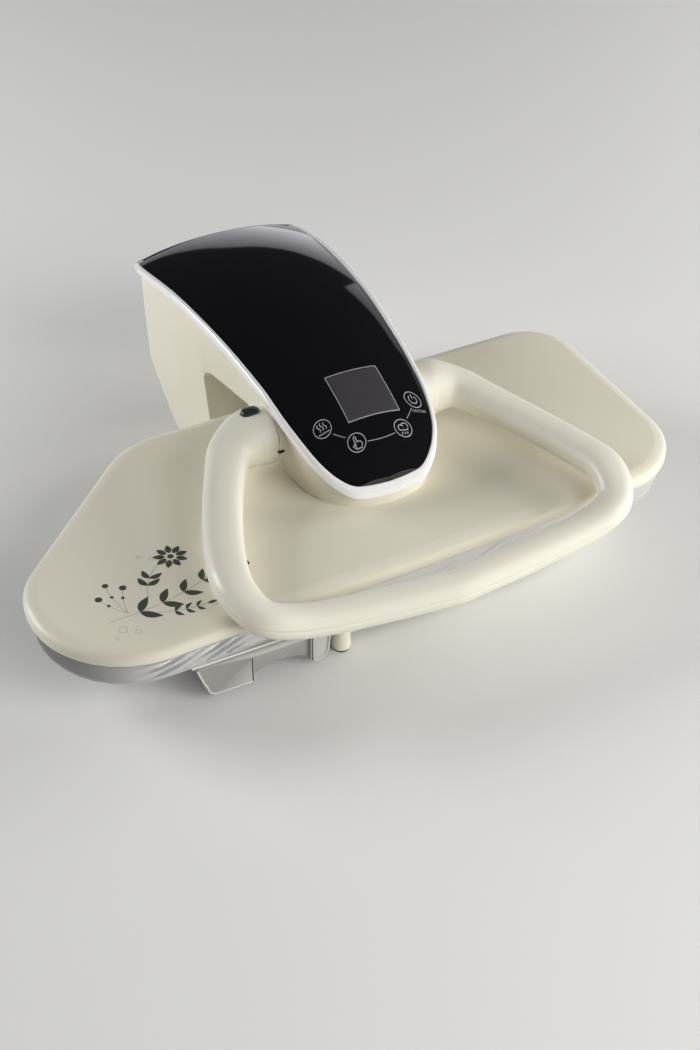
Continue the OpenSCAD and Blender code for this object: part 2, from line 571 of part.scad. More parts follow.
// Domed hood panel: one cross-section after another from the tip to the back edge
crown = [[-90, 4], [-72, 11], [-57, 15], [-14, 17], [60, hood_crown], [200, hood_crown],
    [300, 14], [330, 13]];
hood_half = [for (i = [1 : len(head_half) - 1]) inset(head, rim_t + 0.2)[i]];
function hood_z(x, y, w) = rim_z(y) - 3 + at(crown, y) * (1 - pow(abs(x / w), 2.2));
function hood_rib(q, n = 12) =
    let (xs = [for (k = [0 : n]) q[0] * cos(180 * k / n)])
    concat([for (x = xs) [x, q[1], hood_z(x, q[1], q[0])]],
        [for (x = reverse(xs)) [x, q[1], hood_z(x, q[1], q[0]) - hood_t]]);
module dome() skin([for (q = reverse(hood_half)) hood_rib(q)]);
display_c = [display_off, -11.5, top_z + 78.4];
display_tilt = 20;
module display_box(g, z0, z1) translate(display_c) rotate([display_tilt, 0, 0])
    block([-display_w / 2 - g, -display_w / 2 - g, z0], [display_w / 2 + g, display_w / 2 + g, z1]);
module hood_panel() color("black") placed() difference() {
    dome();
    display_box(0.15, -30, 40);
}
module display_lens() color("dimgray") placed() intersection() {
    dome();
    display_box(0, -30, 40);
}
module display_module() color("darkslategray") placed() display_box(-2, -9.6, -5.2);
module control_board() color("seagreen") placed() translate([0, display_c[1], display_c[2]])
        rotate([display_tilt, 0, 0]) {
    block([-43, -31, -11.4], [43, 34, -9.8]);
    for (x = [-display_w / 2 - 3, display_w / 2 + 3])
        translate([display_off + x, -24, -9.9]) cylinder(r = 4.5, h = 1.3);
}

// Steel frame inside the arm
frame_side = concat([for (a = [180 : 20 : 340]) [hinge_y + 19 * cos(a), hinge_z + 19 * sin(a)]],
    [[hinge_y + 24, hinge_z + 20], [292, top_z - 10], [298, top_z + 60], [270, top_z + 82],
    [180, top_z + 86], [70, top_z + 78], [14, top_z + 62], [-6, top_z + 50], [-6, top_z + 20],
    [56, top_z + 20], [56, top_z + 52], [110, top_z + 50], [160, top_z + 46], [172, top_z + 30],
    [166, top_z - 20], [190, hinge_z + 24], [hinge_y - 19, hinge_z + 8]]);
press_z = top_z + 20;
spring_high = top_z + 40;
bolts = [[-34, -45], [34, -45], [-34, 45], [34, 45]];
hose_x = 52;
module arm_frame() color("slategray") placed() difference() {
    union() {
        both() side(frame_side, plate_x, plate_x + steel_t);
        block([-plate_x - eps, -8, press_z], [plate_x + eps, 54, press_z + 4]);
        block([-44, -57, press_z], [44, -7, press_z + 4]);
        block([-plate_x - eps, spring_y + 10, top_z - 20], [plate_x + eps, spring_y + 13, top_z + 50]);
        both() block([bracket_x - 8, spring_y - 9, spring_high],
            [bracket_x + 11, spring_y + 11, spring_high + 3]);
        block([-plate_x - eps, 90, top_z + 51], [plate_x + eps, 150, top_z + 54]);
    }
    translate([0, hinge_y, hinge_z]) along_x(-110, 110, hinge_r);
    translate([0, grip_y, grip_axis_z]) along_x(-110, 110, grip_shaft_r + 2);
    at_each(bolts) translate([0, 0, press_z - 1]) cylinder(r = 4.2, h = 6);
    both() for (q = skin_posts) translate([0, q[0], q[1]]) along_x(plate_x - 5, plate_x + 9, 1.9);
    block([-26, 0, press_z - 1], [26, 30, press_z + 5]);
    translate([hose_x, -5, press_z - 1]) cylinder(r = 7, h = 6);
    translate([-hose_x, -5, press_z - 1]) cylinder(r = 6, h = 6);
}
module hinge_shaft() color("silver") placed() translate([0, hinge_y, hinge_z]) difference() {
    along_x(-plate_x - steel_t - 5, plate_x + steel_t + 5, hinge_r - eps);
    both() difference() {
        along_x(plate_x + steel_t + 0.2, plate_x + steel_t + 1.6, hinge_r + 1);
        along_x(plate_x + steel_t, plate_x + steel_t + 2, hinge_r - 1.5);
    }
}
module shaft_clips() color("silver") placed() both() translate([0, hinge_y, hinge_z]) difference() {
    along_x(plate_x + steel_t + 0.3, plate_x + steel_t + 1.5, hinge_r + 4);
    along_x(plate_x + steel_t - 1, plate_x + steel_t + 3, hinge_r - 1.4);
    block([-110, -hinge_r + 2.4, -20], [110, hinge_r - 2.4, 0]);
}
module handle_bushes() color("goldenrod") placed() both() translate([0, grip_y, grip_axis_z])
    difference() {
        union() {
            along_x(plate_x - 2, plate_x + steel_t + 2, grip_shaft_r + 2 - eps);
            along_x(plate_x + steel_t + eps, plate_x + steel_t + 2, grip_shaft_r + 3.5);
        }
        along_x(plate_x - 3, plate_x + steel_t + 3, grip_shaft_r + run_gap);
    }
module lift_springs() color("silver") placed() both() translate([bracket_x + steel_t / 2, spring_y, 0])
    coil(spring_low + 0.2, spring_high - 0.2, 8, 1.2, 14);
// Hose and loom cross from the base to the arm over the hinge, where two lengths meet
link_y = hinge_y + 3;
link_z = hinge_z + 20;
module upper_hose() color("lightgray") placed() hose([[20, link_y, link_z + 0.3],
    [20, link_y, link_z + 3], [20, link_y + 2, link_z + 9], [16, 244, 86], [0, 250, 130],
    [2, 236, top_z + 66], [20, 190, top_z + 69], [44, 130, top_z + 68], [50, 80, top_z + 66],
    [50, 40, top_z + 59],
    [51, 14, top_z + 54], [hose_x, -5, top_z + 38], [hose_x, -5, top_z + 20], [hose_x, -5, top_z + 4],
    [hose_x, -5, plate_top + 9.5]], hose_r - 0.4);
module arm_loom() color("black") placed() hose([[-20, link_y, link_z + 0.3],
    [-20, link_y, link_z + 3], [-20, link_y + 2, link_z + 9], [-18, 242, 86], [-14, 244, 130],
    [-20, 230, top_z + 66], [-40, 190, top_z + 69], [-50, 130, top_z + 68], [-52, 80, top_z + 64],
    [-52, 40, top_z + 58],
    [-hose_x, 14, top_z + 53], [-hose_x, -5, top_z + 38], [-hose_x, -5, top_z + 20], [-hose_x, -5, top_z + 4],
    [-hose_x, -5, plate_top + 0.4]], loom_r);
bolt_head_z = press_z + 20;
module float_springs() color("silver") placed() at_each(bolts)
    coil(press_z + 4.1, bolt_head_z - 0.2, 6, 0.9, 4);
module housing_screws() color("silver") placed()
    both() for (q = skin_posts) translate([0, q[0], q[1]]) {
        along_x(plate_x - 2, plate_x - eps, 4);
        along_x(plate_x - 0.1, plate_x + 16, 1.8);
    }

// Shoe
plate_inset = 4.6;
steam_holes = [for (i = [-6 : 6], j = [-1 : 1]) [i * 40 - 20, j * 62 - 30]];
chamber = [[44, -84], [200, 52]];
thrust = [[-18, 3], [18, 24]];
moat_z = top_z - float_h - 1.6;
module shoe_cover() color("ivory") placed() difference() {
    stacked(shoe, [[cover_z, 1], [cover_z + 5, 0], [top_z - 7.5, 0.2], [top_z - 4, 1.6],
        [top_z - 1.6, 4.6], [top_z - 0.4, 8.6], [top_z, 13.5]]);
    difference() {
        stacked(shoe, [[cover_z - 1, cover_wall + 1], [cover_z + 5, cover_wall],
            [top_z - 8, cover_wall + 0.4], [top_z - cover_wall - 1.5, cover_wall + 4],
            [top_z - cover_wall, cover_wall + 10]]);
        prism(inset(neck_foot, -4), moat_z - 2.4, top_z);
        at_each(shoe_posts) translate([0, 0, plate_top + eps]) cylinder(r = 4.2, h = cover_h);
    }
    difference() {
        prism(inset(neck_foot, -seam), moat_z, top_z + 1);
        prism(inset(neck_foot, wall + seam), moat_z - 1, top_z + 2);
    }
    block([-58, -64, cover_z - 1], [58, 52, top_z + 5]);
    at_each(shoe_posts) translate([0, 0, plate_z]) cylinder(r = 1.6, h = shield_z - plate_z + 2);
}
module sole_plate() color("darkgray") placed() difference() {
    union() {
        prism(inset(shoe, plate_inset), plate_z, plate_top);
        at_each(bolts) translate([0, 0, plate_top - eps]) cylinder(r = 8, h = 5);
        difference() {
            block([chamber[0][0], chamber[0][1], plate_top - eps],
                [chamber[1][0], chamber[1][1], plate_top + 4.5]);
            block([chamber[0][0] + 4, chamber[0][1] + 4, plate_top - 1],
                [chamber[1][0] - 4, chamber[1][1] - 4, plate_top + 5]);
        }
        block([thrust[0][0], thrust[0][1], plate_top - eps], [thrust[1][0], thrust[1][1], plate_top + 5]);
    }
    at_each(steam_holes) translate([0, 0, plate_z - 1]) cylinder(r = 1.6, h = plate_t + 2);
    at_each(bolts) translate([0, 0, plate_z + 1.5]) cylinder(r = 3, h = 20);
    at_each(shoe_posts) translate([0, 0, plate_z + 1.5]) cylinder(r = 1.6, h = 20);
}
// Tubular heater laid on the plate as an open loop
loop = [[-200, -125], [250, 80]];
loop_r = 36;
heater_r = 3.4;
heater_z = plate_top + heater_r + 0.1;
module bend(x, y, a) translate([x, y, 0]) rotate([0, 0, a]) rotate_extrude(angle = 90)
    translate([loop_r, 0]) circle(r = heater_r, $fn = 24);
module heating_element() color("dimgray") placed() translate([0, 0, heater_z]) {
    translate([0, loop[0][1], 0]) along_x(loop[0][0] + loop_r, loop[1][0] - loop_r, heater_r);
    translate([0, loop[1][1], 0]) along_x(70, loop[1][0] - loop_r, heater_r);
    translate([0, loop[1][1], 0]) along_x(loop[0][0] + loop_r, -70, heater_r);
    translate([loop[0][0], 0, 0]) along_y(loop[0][1] + loop_r, loop[1][1] - loop_r, heater_r);
    translate([loop[1][0], 0, 0]) along_y(loop[0][1] + loop_r, loop[1][1] - loop_r, heater_r);
    bend(loop[0][0] + loop_r, loop[0][1] + loop_r, 180);
    bend(loop[1][0] - loop_r, loop[0][1] + loop_r, 270);
    bend(loop[1][0] - loop_r, loop[1][1] - loop_r, 0);
    bend(loop[0][0] + loop_r, loop[1][1] - loop_r, 90);
}
module chamber_lid() color("darkgray") placed() difference() {
    union() {
        block([chamber[0][0], chamber[0][1], plate_top + 4.5], [chamber[1][0], chamber[1][1], plate_top + 6]);
        translate([hose_x, -5, plate_top + 5.9]) cylinder(r = 3, h = 3.3);
    }
    translate([hose_x, -5, plate_top]) cylinder(r = 1.6, h = 20);
}
module thermostat() color("silver") placed() translate([-120, 0, plate_top]) {
    cylinder(r = 9, h = 5);
    both() block([8, -2.5, 0], [16, 2.5, 1.5]);
}
module thermal_fuse() color("white") placed() translate([-80, -62, plate_top + 3]) {
    along_x(-12, 12, 3 - eps);
    along_x(-22, 22, 0.8);
    both() block([19, -2, -3], [23, 2, 0.5]);
}
shield_z = top_z - cover_wall - 1.2;
module heat_shield() color("silver") placed() difference() {
    prism(inset(shoe, 22), shield_z, shield_z + 0.8);
    block([-78, -104, shield_z - 1], [78, 78, shield_z + 2]);
    at_each(shoe_posts) translate([0, 0, shield_z - 1]) cylinder(r = 5, h = 4);
}
module float_bolts() color("silver") placed() at_each(bolts) difference() {
    union() {
        translate([0, 0, plate_z + 2]) cylinder(r = 2.9, h = 12);
        translate([0, 0, plate_top + 5 + eps]) cylinder(r = 4, h = bolt_head_z - plate_top - 5);
        translate([0, 0, bolt_head_z]) cylinder(r = 7.5, h = 3.5);
    }
}
cam_r = 12;
cam_off = float_h / sin(lift_deg);
cam_y = grip_y - cam_off * cos(lift_deg);
cam_z = grip_axis_z - cam_off * sin(lift_deg);
module thrust_block() color("white") placed()
    block([thrust[0][0] + 1, thrust[0][1] + 1, plate_top + 5 + eps],
        [thrust[1][0] - 1, thrust[1][1] - 1, cam_z - cam_r - 0.3]);
shoe_posts = [[-280, -60], [-230, 60], [-130, -146], [130, -134], [225, 105], [270, -70], [-110, 105]];
module shoe_screws() color("silver") placed() at_each(shoe_posts)
    translate([0, 0, plate_z + 2]) cylinder(r = 1.5, h = shield_z - plate_z - 1);

// Handle
grip_half = spline(grip_path, 2);
function flip(q) = [-q[0], q[1], q[2], q[3], q[4]];
grip_line = concat([for (q = grip_half) flip(q)], reverse([for (i = [0 : len(grip_half) - 2]) grip_half[i]]));
grip_pow = 2 / 2.4;
function bulge(v) = sign(v) * pow(abs(v), grip_pow);
// Half-shell section of the handle at point i: a0 is 0 for the upper half, 180 for the lower
function grip_ring(i, a0) =
    let (q = grip_line[i], t = heading(grip_line, i), n = flank(t), b = cross(t, n),
        c = [q[0], q[1], q[2] + top_z + (a0 == 0 ? 0.4 : 0)], w = q[3] / 2, h = q[4] / 2, k = 8)
    concat([for (j = [0 : k]) let (a = a0 + 180 * j / k) c + n * bulge(cos(a)) * w + b * bulge(sin(a)) * h],
        [for (j = [k : -1 : 0]) let (a = a0 + 180 * j / k)
            c + n * bulge(cos(a)) * (w - handle_wall) + b * bulge(sin(a)) * (h - handle_wall)]);
button_x = -(grip_x + 15);
button_y = grip_y + 5;
module stadium(l, w) union() {
    square([l - w, w], center = true);
    for (s = [-1, 1]) translate([s * (l - w) / 2, 0]) circle(r = w / 2);
}
module button_hole(g, z0, z1) translate([button_x, button_y, z0]) linear_extrude(z1 - z0)
    stadium(button_l + 2 * g, button_w + 2 * g);
// Stations along the handle where a screw joins its halves
post_h = 12.6;
head_z = 9.4;
post_at = [11, 17, 23, len(grip_line) - 24, len(grip_line) - 18, len(grip_line) - 12];
module at_posts() for (i = post_at) translate(xyz(grip_line[i]) + [0, 0, top_z]) children();
module handle_top() color("ivory") placed() difference() {
    union() {
        skin([for (i = [0 : len(grip_line) - 1]) grip_ring(i, 0)]);
        at_posts() translate([0, 0, eps]) cylinder(r = 4.5, h = post_h);
    }
    at_posts() translate([0, 0, -1]) cylinder(r = 1.6, h = 10);
    button_hole(0.3, grip_axis_z + 5, grip_axis_z + 60);
}
boss_r = 14;
module handle_bottom() color("ivory") placed() difference() {
    union() {
        skin([for (i = [0 : len(grip_line) - 1]) grip_ring(i, 180)]);
        at_posts() translate([0, 0, -post_h]) cylinder(r = 4.5, h = post_h);
        both() translate([0, grip_y, grip_axis_z]) {
            along_x(grip_x + 1, grip_x + 26, boss_r);
            block([grip_x + 1, -3, -25], [grip_x + 26, 3, -10]);
        }
    }
    translate([0, grip_y, grip_axis_z]) along_x(-grip_x - 22, grip_x + 22, grip_shaft_r + 0.05);
    at_posts() translate([0, 0, -30]) cylinder(r = 1.6, h = 31);
    at_posts() translate([0, 0, -40]) cylinder(r = 3.3, h = 40 - head_z);
}
module handle_shaft() color("silver") placed() translate([0, grip_y, grip_axis_z])
    along_x(-grip_x - 21.5, grip_x + 21.5, grip_shaft_r - eps);
module press_cams() color("slategray") placed() both() difference() {
    union() {
        translate([0, cam_y, cam_z]) along_x(4, 16, cam_r);
        translate([0, grip_y, grip_axis_z]) along_x(4, 18, grip_shaft_r + 3);
    }
    translate([0, grip_y, grip_axis_z]) along_x(3, 19, grip_shaft_r);
}
module handle_screws() color("silver") placed() at_posts() {
    translate([0, 0, -head_z - 2.2]) cylinder(r = 3.1, h = 2.1);
    translate([0, 0, -head_z - 1]) cylinder(r = 1.5, h = head_z + 9);
}

module lock_button() color("darkslategray") placed() union() {
    button_hole(0, grip_axis_z + boss_r + 6.5, grip_axis_z + 29);
    button_hole(1.2, grip_axis_z + boss_r + 5.5, grip_axis_z + boss_r + 6.5 + eps);
}
module button_spring() color("silver") placed() translate([button_x, button_y, 0])
    coil(grip_axis_z + boss_r + 0.2, grip_axis_z + boss_r + 5.3, 4, 0.5, 4);

base_pan();
base_feet();
board_frame();
board_pad();
board_cover();
base_screws();
hinge_bracket();
hinge_bushes();
bracket_screws();
water_pump();
pump_mounts();
tank_rails();
tank_coupling();
suction_hose();
lower_hose();
base_loom();
power_board();
cord_inlet();
tank_body();
tank_lid();
tank_valve();
tank_seal();
arm_frame();
hinge_shaft();
shaft_clips();
arm_housing();
head_front();
rim_trim();
hood_panel();
display_lens();
display_module();
control_board();
handle_bushes();
lift_springs();
upper_hose();
arm_loom();
float_springs();
housing_screws();
shoe_cover();
sole_plate();
heating_element();
chamber_lid();
thermostat();
thermal_fuse();
heat_shield();
float_bolts();
thrust_block();
shoe_screws();
handle_top();
handle_bottom();
handle_shaft();
press_cams();
handle_screws();
lock_button();
button_spring();
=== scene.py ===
# %% [markdown]
# This lesson dresses a steam ironing press. The press is a padded board on a low base, with a heated
# shoe above it that hangs under a C-shaped arm, and a loop handle that presses the shoe down.
# The CAD model is loaded first and stays as a fixed frame. Every piece made here is placed in it.

# %% Load the CAD frame
import json
import math
import random

import bmesh
import bpy
from mathutils import Matrix, Vector


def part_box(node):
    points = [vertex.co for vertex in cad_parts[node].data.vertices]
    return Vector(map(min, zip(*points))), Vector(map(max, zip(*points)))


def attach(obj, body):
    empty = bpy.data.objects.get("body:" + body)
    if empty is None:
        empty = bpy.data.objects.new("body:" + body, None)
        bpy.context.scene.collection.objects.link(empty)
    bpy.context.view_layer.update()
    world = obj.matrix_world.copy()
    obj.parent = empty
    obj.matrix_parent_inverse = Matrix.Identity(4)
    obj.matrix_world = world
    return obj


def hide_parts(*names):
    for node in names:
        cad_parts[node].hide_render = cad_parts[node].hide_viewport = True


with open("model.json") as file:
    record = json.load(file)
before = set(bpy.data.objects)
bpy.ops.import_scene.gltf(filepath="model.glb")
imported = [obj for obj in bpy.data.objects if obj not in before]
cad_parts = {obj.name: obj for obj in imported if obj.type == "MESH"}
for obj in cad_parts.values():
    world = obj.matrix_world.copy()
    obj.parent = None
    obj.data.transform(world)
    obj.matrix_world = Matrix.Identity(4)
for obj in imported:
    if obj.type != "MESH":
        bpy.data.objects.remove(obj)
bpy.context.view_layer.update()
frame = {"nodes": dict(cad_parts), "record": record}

# %% [markdown]
# The drawings of the press count millimetres from the middle of the arm, so the lesson does too.
# The hinge shaft lies 225 mm behind that middle, which ties the two together. One helper turns a
# point into the frame's metres. The top of the shoe is read from the CAD.

# %% Places in millimetres
MM = 0.001
HINGE_BACK = 225
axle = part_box("hinge_shaft")
ARM_SHIFT = Vector(((axle[0].x + axle[1].x) / 2 / MM, (axle[0].y + axle[1].y) / 2 / MM - HINGE_BACK, 0))
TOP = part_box("shoe_cover")[1].z / MM


def here(x, y, z):
    return (Vector((x, y, z)) + ARM_SHIFT) * MM


print("top of the shoe at", round(TOP, 2), "mm")

# %% [markdown]
# The camera comes first. It stands 1.8 m away, to the left of the front and 36 degrees up, as in
# the photograph. The frame was cropped, so the lens is shifted a little downwards.

# %% Camera
TURN, TILT, REACH = math.radians(-27), math.radians(36), 1.798
AIM = here(-1, 0, 95)
FOCAL, SENSOR, DOWNWARDS, FAR_END = 61.71, 36, -0.0667, 30


def facing(direction):
    return direction.to_track_quat("Z", "Y").to_matrix().to_4x4()


back = Vector((math.sin(TURN) * math.cos(TILT), -math.cos(TURN) * math.cos(TILT), math.sin(TILT)))
lens = bpy.data.cameras.new("photo_lens")
lens.sensor_width = SENSOR
lens.lens = FOCAL
lens.shift_y = DOWNWARDS
lens.clip_end = FAR_END
camera = bpy.data.objects.new("photo_camera", lens)
bpy.context.collection.objects.link(camera)
camera.matrix_world = Matrix.Translation(AIM + back * REACH) @ facing(back)
bpy.context.scene.camera = camera
print("camera at", [round(v, 3) for v in camera.matrix_world.translation])

# %% [markdown]
# A studio lights a product with soft boxes. One key stands behind at the left and lights the arm's
# side and the left end of the cover. Four more, at the front and the right, light the faces that
# look at the viewer. They stay out of mirror reflections, and nothing bright hangs overhead, so the
# glossy hood stays black. Each box is an area lamp turned to its aim, so one function makes them.

# %% Lamps
bpy.context.scene.view_settings.view_transform = "Standard"
MIDDLE = (0, 0, 0.1)
WARM, WARMER, COOL = (1.0, 0.99, 0.97), (1.0, 0.985, 0.96), (0.95, 0.95, 1.0)


def lamp(name, place, aim, power, width, height, tint=(1, 1, 1)):
    light = bpy.data.lights.new(name, "AREA")
    light.shape = "RECTANGLE"
    light.size, light.size_y, light.energy, light.color = width, height, power, tint
    holder = bpy.data.objects.new(name, light)
    bpy.context.collection.objects.link(holder)
    holder.matrix_world = Matrix.Translation(place) @ facing(Vector(place) - Vector(aim))
    holder.visible_camera = False
    return holder


lamp("left_back_box", (-2.0, 1.6, 1.2), MIDDLE, 55, 1.4, 1.2)
for row in (("front_box", (0.0, -2.1, 1.4), MIDDLE, 9, 1.2, 0.9, WARM),
            ("front_right_high", (0.95, -1.92, 1.6), MIDDLE, 19, 1.2, 1.0, WARMER),
            ("front_right_low", (1.6, -2.1, 0.6), MIDDLE, 30, 1.6, 0.8, WARMER),
            ("right_box", (2.6, -0.3, 0.9), MIDDLE, 39, 1.4, 1.0, WARM)):
    lamp(*row).visible_glossy = False

# %% [markdown]
# Two low lamps, one behind and one at the right, show in the hood as a grey band along its back and
# right edges. On the real one the band fades out on one side. A plain lamp shows as an even patch,
# so here the strength follows the lamp's own height, from full down to about a quarter.

# %% Two bands that fade
FULL, FAINT = 1.05, 0.28


def wire(tree, a, a_name, b, b_name):
    tree.links.new(a.outputs[a_name], b.inputs[b_name])


def ranged(tree, source, label, ends):
    node = tree.nodes.new("ShaderNodeMapRange")
    for socket, value in ends.items():
        node.inputs[socket].default_value = value
    wire(tree, source, label, node, "Value")
    return node


back_band = lamp("back_band", (0.79, 2.53, 0.36), (0.0, 0.15, 0.2), 5.6, 2.5, 0.68, COOL)
side_band = lamp("side_band", (2.06, 1.43, 0.60), (0.02, 0.15, 0.2), 3.2, 1.12, 0.92, COOL)
side_band.matrix_world = side_band.matrix_world @ Matrix.Rotation(math.radians(-7), 4, "Z")
for band in (back_band, side_band):
    band.data.use_nodes = True
    glow = band.data.node_tree
    across = glow.nodes.new("ShaderNodeNewGeometry")
    parts = glow.nodes.new("ShaderNodeSeparateXYZ")
    wire(glow, across, "Parametric", parts, "Vector")
    fade = ranged(glow, parts, "Y", {"To Min": FULL, "To Max": FAINT})
    wire(glow, fade, "Result", glow.nodes["Emission"], "Strength")
print("bands:", back_band.name, side_band.name)

# %% [markdown]
# The press stands on a wide pale floor under a dim even world, so that its shadow is soft and its
# dark sides don't turn black. A plane does for the floor. It belongs to the studio and not to the
# press.

# %% Floor and world
FLOOR_SIZE, WORLD_GREY, WORLD_LEVEL = 14, (0.80, 0.81, 0.83, 1), 0.025


def clear():
    if bpy.context.object and bpy.context.object.mode != "OBJECT":
        bpy.ops.object.mode_set(mode="OBJECT")
    bpy.ops.object.select_all(action="DESELECT")


clear()
bpy.ops.mesh.primitive_plane_add(size=FLOOR_SIZE, location=(0, 2.0, 0))
floor = bpy.context.object
floor.name = "floor"

world = bpy.data.worlds.new("studio")
world.use_nodes = True
bpy.context.scene.world = world
world.node_tree.nodes["Background"].inputs["Color"].default_value = WORLD_GREY
world.node_tree.nodes["Background"].inputs["Strength"].default_value = WORLD_LEVEL
print("world:", world.name, "floor:", FLOOR_SIZE, "m wide")

# %% [markdown]
# Every plastic, metal and rubber here shows two things up close: a slow drift of tone and a fine
# grain. One node group makes both, with its scale as an input, and each material mixes them in its
# own way. A group must only put out masks, so the Principled shader stays in the material.

# %% The surface group
def new_group(name, inputs, outputs):
    group = bpy.data.node_groups.new(name, "ShaderNodeTree")
    for label, value in inputs.items():
        socket = group.interface.new_socket(name=label, in_out="INPUT", socket_type="NodeSocketFloat")
        socket.default_value = value
    for label in outputs:
        group.interface.new_socket(name=label, in_out="OUTPUT", socket_type="NodeSocketFloat")
    return group, group.nodes.new("NodeGroupInput"), group.nodes.new("NodeGroupOutput")


def noise(tree, coords, scale, detail=4.0, rough=0.55):
    node = tree.nodes.new("ShaderNodeTexNoise")
    for socket, value in (("Scale", scale), ("Detail", detail), ("Roughness", rough)):
        node.inputs[socket].default_value = value
    tree.links.new(coords, node.inputs["Vector"])
    return node


surface, asked, given = new_group(
    "surface_marks", {"Grain": 900.0, "Drift": 9.0, "Stretch X": 1.0, "Stretch Z": 1.0},
    ["Tone", "Grain", "Edge"])
coords = surface.nodes.new("ShaderNodeTexCoord")
stretch = surface.nodes.new("ShaderNodeCombineXYZ")
stretch.inputs["Y"].default_value = 1.0
wire(surface, asked, "Stretch X", stretch, "X")
wire(surface, asked, "Stretch Z", stretch, "Z")
scaled = surface.nodes.new("ShaderNodeVectorMath")
scaled.operation = "MULTIPLY"
wire(surface, coords, "Object", scaled, 0)
wire(surface, stretch, "Vector", scaled, 1)
drift = noise(surface, coords.outputs["Object"], 9.0, 3.0)
wire(surface, asked, "Drift", drift, "Scale")
grain = noise(surface, scaled.outputs["Vector"], 900.0, 2.0)
wire(surface, asked, "Grain", grain, "Scale")
geometry = surface.nodes.new("ShaderNodeNewGeometry")
edge = ranged(surface, geometry, "Pointiness", {"From Min": 0.5, "From Max": 0.62})
wire(surface, drift, "Fac", given, "Tone")
wire(surface, grain, "Fac", given, "Grain")
wire(surface, edge, "Result", given, "Edge")
print("group:", surface.name, [s.name for s in surface.interface.items_tree])

# %% [markdown]
# A finish is a base colour with its drift, lighter edges, a roughness that follows the same drift,
# and a bump from the grain. The lighter edges are a little wear on most finishes, and on the smoky
# tank a painted highlight for the glints along its clear edges. Moulded plastic, steel, rubber and
# lacquer differ only in these numbers, so one function writes them all. Numbers that are the same
# all over sit on the shader's own sockets.

# %% One function for all finishes
WEAR_AND_GLINT_SHARE, GRAIN_HEIGHT, COAT_ROUGH, PLASTIC_IOR = 0.5, 0.0004, 0.04, 1.47


def shade(colour, k):
    return (min(1.0, colour[0] * k), min(1.0, colour[1] * k), min(1.0, colour[2] * k), 1.0)


def colour_mix(tree, **ends):
    node = tree.nodes.new("ShaderNodeMix")
    node.data_type = "RGBA"
    for socket, value in ends.items():
        node.inputs[socket].default_value = value
    return node


def relief_of(tree, source, label, strength, height):
    node = tree.nodes.new("ShaderNodeBump")
    node.inputs["Strength"].default_value = strength
    node.inputs["Distance"].default_value = height
    wire(tree, source, label, node, "Height")
    wire(tree, node, "Normal", tree.nodes["Principled BSDF"], "Normal")


def finish(name, colour, rough, spread=0.05, vary=0.05, grain=900.0, drift=9.0, bump=0.08,
           metal=0.0, coat=0.0, stretch=(1.0, 1.0), edge=0.06, clear_part=0.0):
    material = bpy.data.materials.new(name)
    material.use_nodes = True
    tree = material.node_tree
    shader = tree.nodes["Principled BSDF"]
    marks = tree.nodes.new("ShaderNodeGroup")
    marks.node_tree = surface
    for socket, value in (("Grain", grain), ("Drift", drift), ("Stretch X", stretch[0]),
                          ("Stretch Z", stretch[1])):
        marks.inputs[socket].default_value = value
    tones = colour_mix(tree, A=shade(colour, 1 - vary), B=shade(colour, 1 + vary))
    wire(tree, marks, "Tone", tones, "Factor")
    # lighter edges: wear on most finishes, a painted highlight on the smoky tank
    wear_and_painted_light = colour_mix(tree, B=shade(colour, 1 + 3 * edge))
    amount = tree.nodes.new("ShaderNodeMath")
    amount.operation = "MULTIPLY"
    amount.inputs[1].default_value = WEAR_AND_GLINT_SHARE
    wire(tree, marks, "Edge", amount, 0)
    wire(tree, amount, 0, wear_and_painted_light, "Factor")
    wire(tree, tones, "Result", wear_and_painted_light, "A")
    wire(tree, wear_and_painted_light, "Result", shader, "Base Color")
    gloss = ranged(tree, marks, "Tone", {"To Min": max(0.02, rough - spread),
                                         "To Max": min(1.0, rough + spread)})
    wire(tree, gloss, "Result", shader, "Roughness")
    relief_of(tree, marks, "Grain", bump, GRAIN_HEIGHT)
    for socket, value in (("Metallic", metal), ("Coat Weight", coat), ("Coat Roughness", COAT_ROUGH),
                          ("Sheen Weight", 0.0), ("Transmission Weight", clear_part), ("IOR", PLASTIC_IOR)):
        shader.inputs[socket].default_value = value
    return material


print("a finish reads", [s.name for s in surface.interface.items_tree if s.in_out == "OUTPUT"])

# %% [markdown]
# Here are the press's own finishes. The real one is warm ivory plastic with a black lacquered hood
# and a silver rim, on a smoke-grey tank. The inner pieces are steel, alloy, rubber and silicone. The
# colours were set by comparing renders with the photograph under the lamps above.

# %% The press's finishes
ivory = finish("ivory_plastic", (0.80, 0.77, 0.645), 0.42, vary=0.012, bump=0.05, coat=0.06)
ivory_satin = finish("ivory_satin", (0.82, 0.795, 0.69), 0.36, vary=0.010, bump=0.03, coat=0.10)
board_grey = finish("board_grey", (0.45, 0.45, 0.43), 0.5, bump=0.1, edge=0.1)
rubber = finish("foot_rubber", (0.035, 0.035, 0.035), 0.75, bump=0.25, grain=500)
black_rubber = finish("black_rubber", (0.02, 0.02, 0.02), 0.6, bump=0.2, grain=700)
steel = finish("steel", (0.56, 0.57, 0.58), 0.34, spread=0.1, bump=0.12, metal=1.0,
               stretch=(12.0, 1.0), edge=0.1)
wire_steel = finish("spring_steel", (0.42, 0.43, 0.45), 0.28, metal=1.0, bump=0.05, grain=1400)
bronze = finish("bronze", (0.55, 0.36, 0.16), 0.38, metal=1.0, bump=0.1)
pump_plastic = finish("pump_plastic", (0.22, 0.26, 0.33), 0.45, bump=0.1)
white_plastic = finish("white_plastic", (0.78, 0.78, 0.75), 0.4, bump=0.06)
silicone = finish("silicone", (0.66, 0.65, 0.60), 0.3, bump=0.05, clear_part=0.25)
board_green = finish("board_green", (0.02, 0.16, 0.07), 0.3, vary=0.15, grain=300, coat=0.4, bump=0.2)
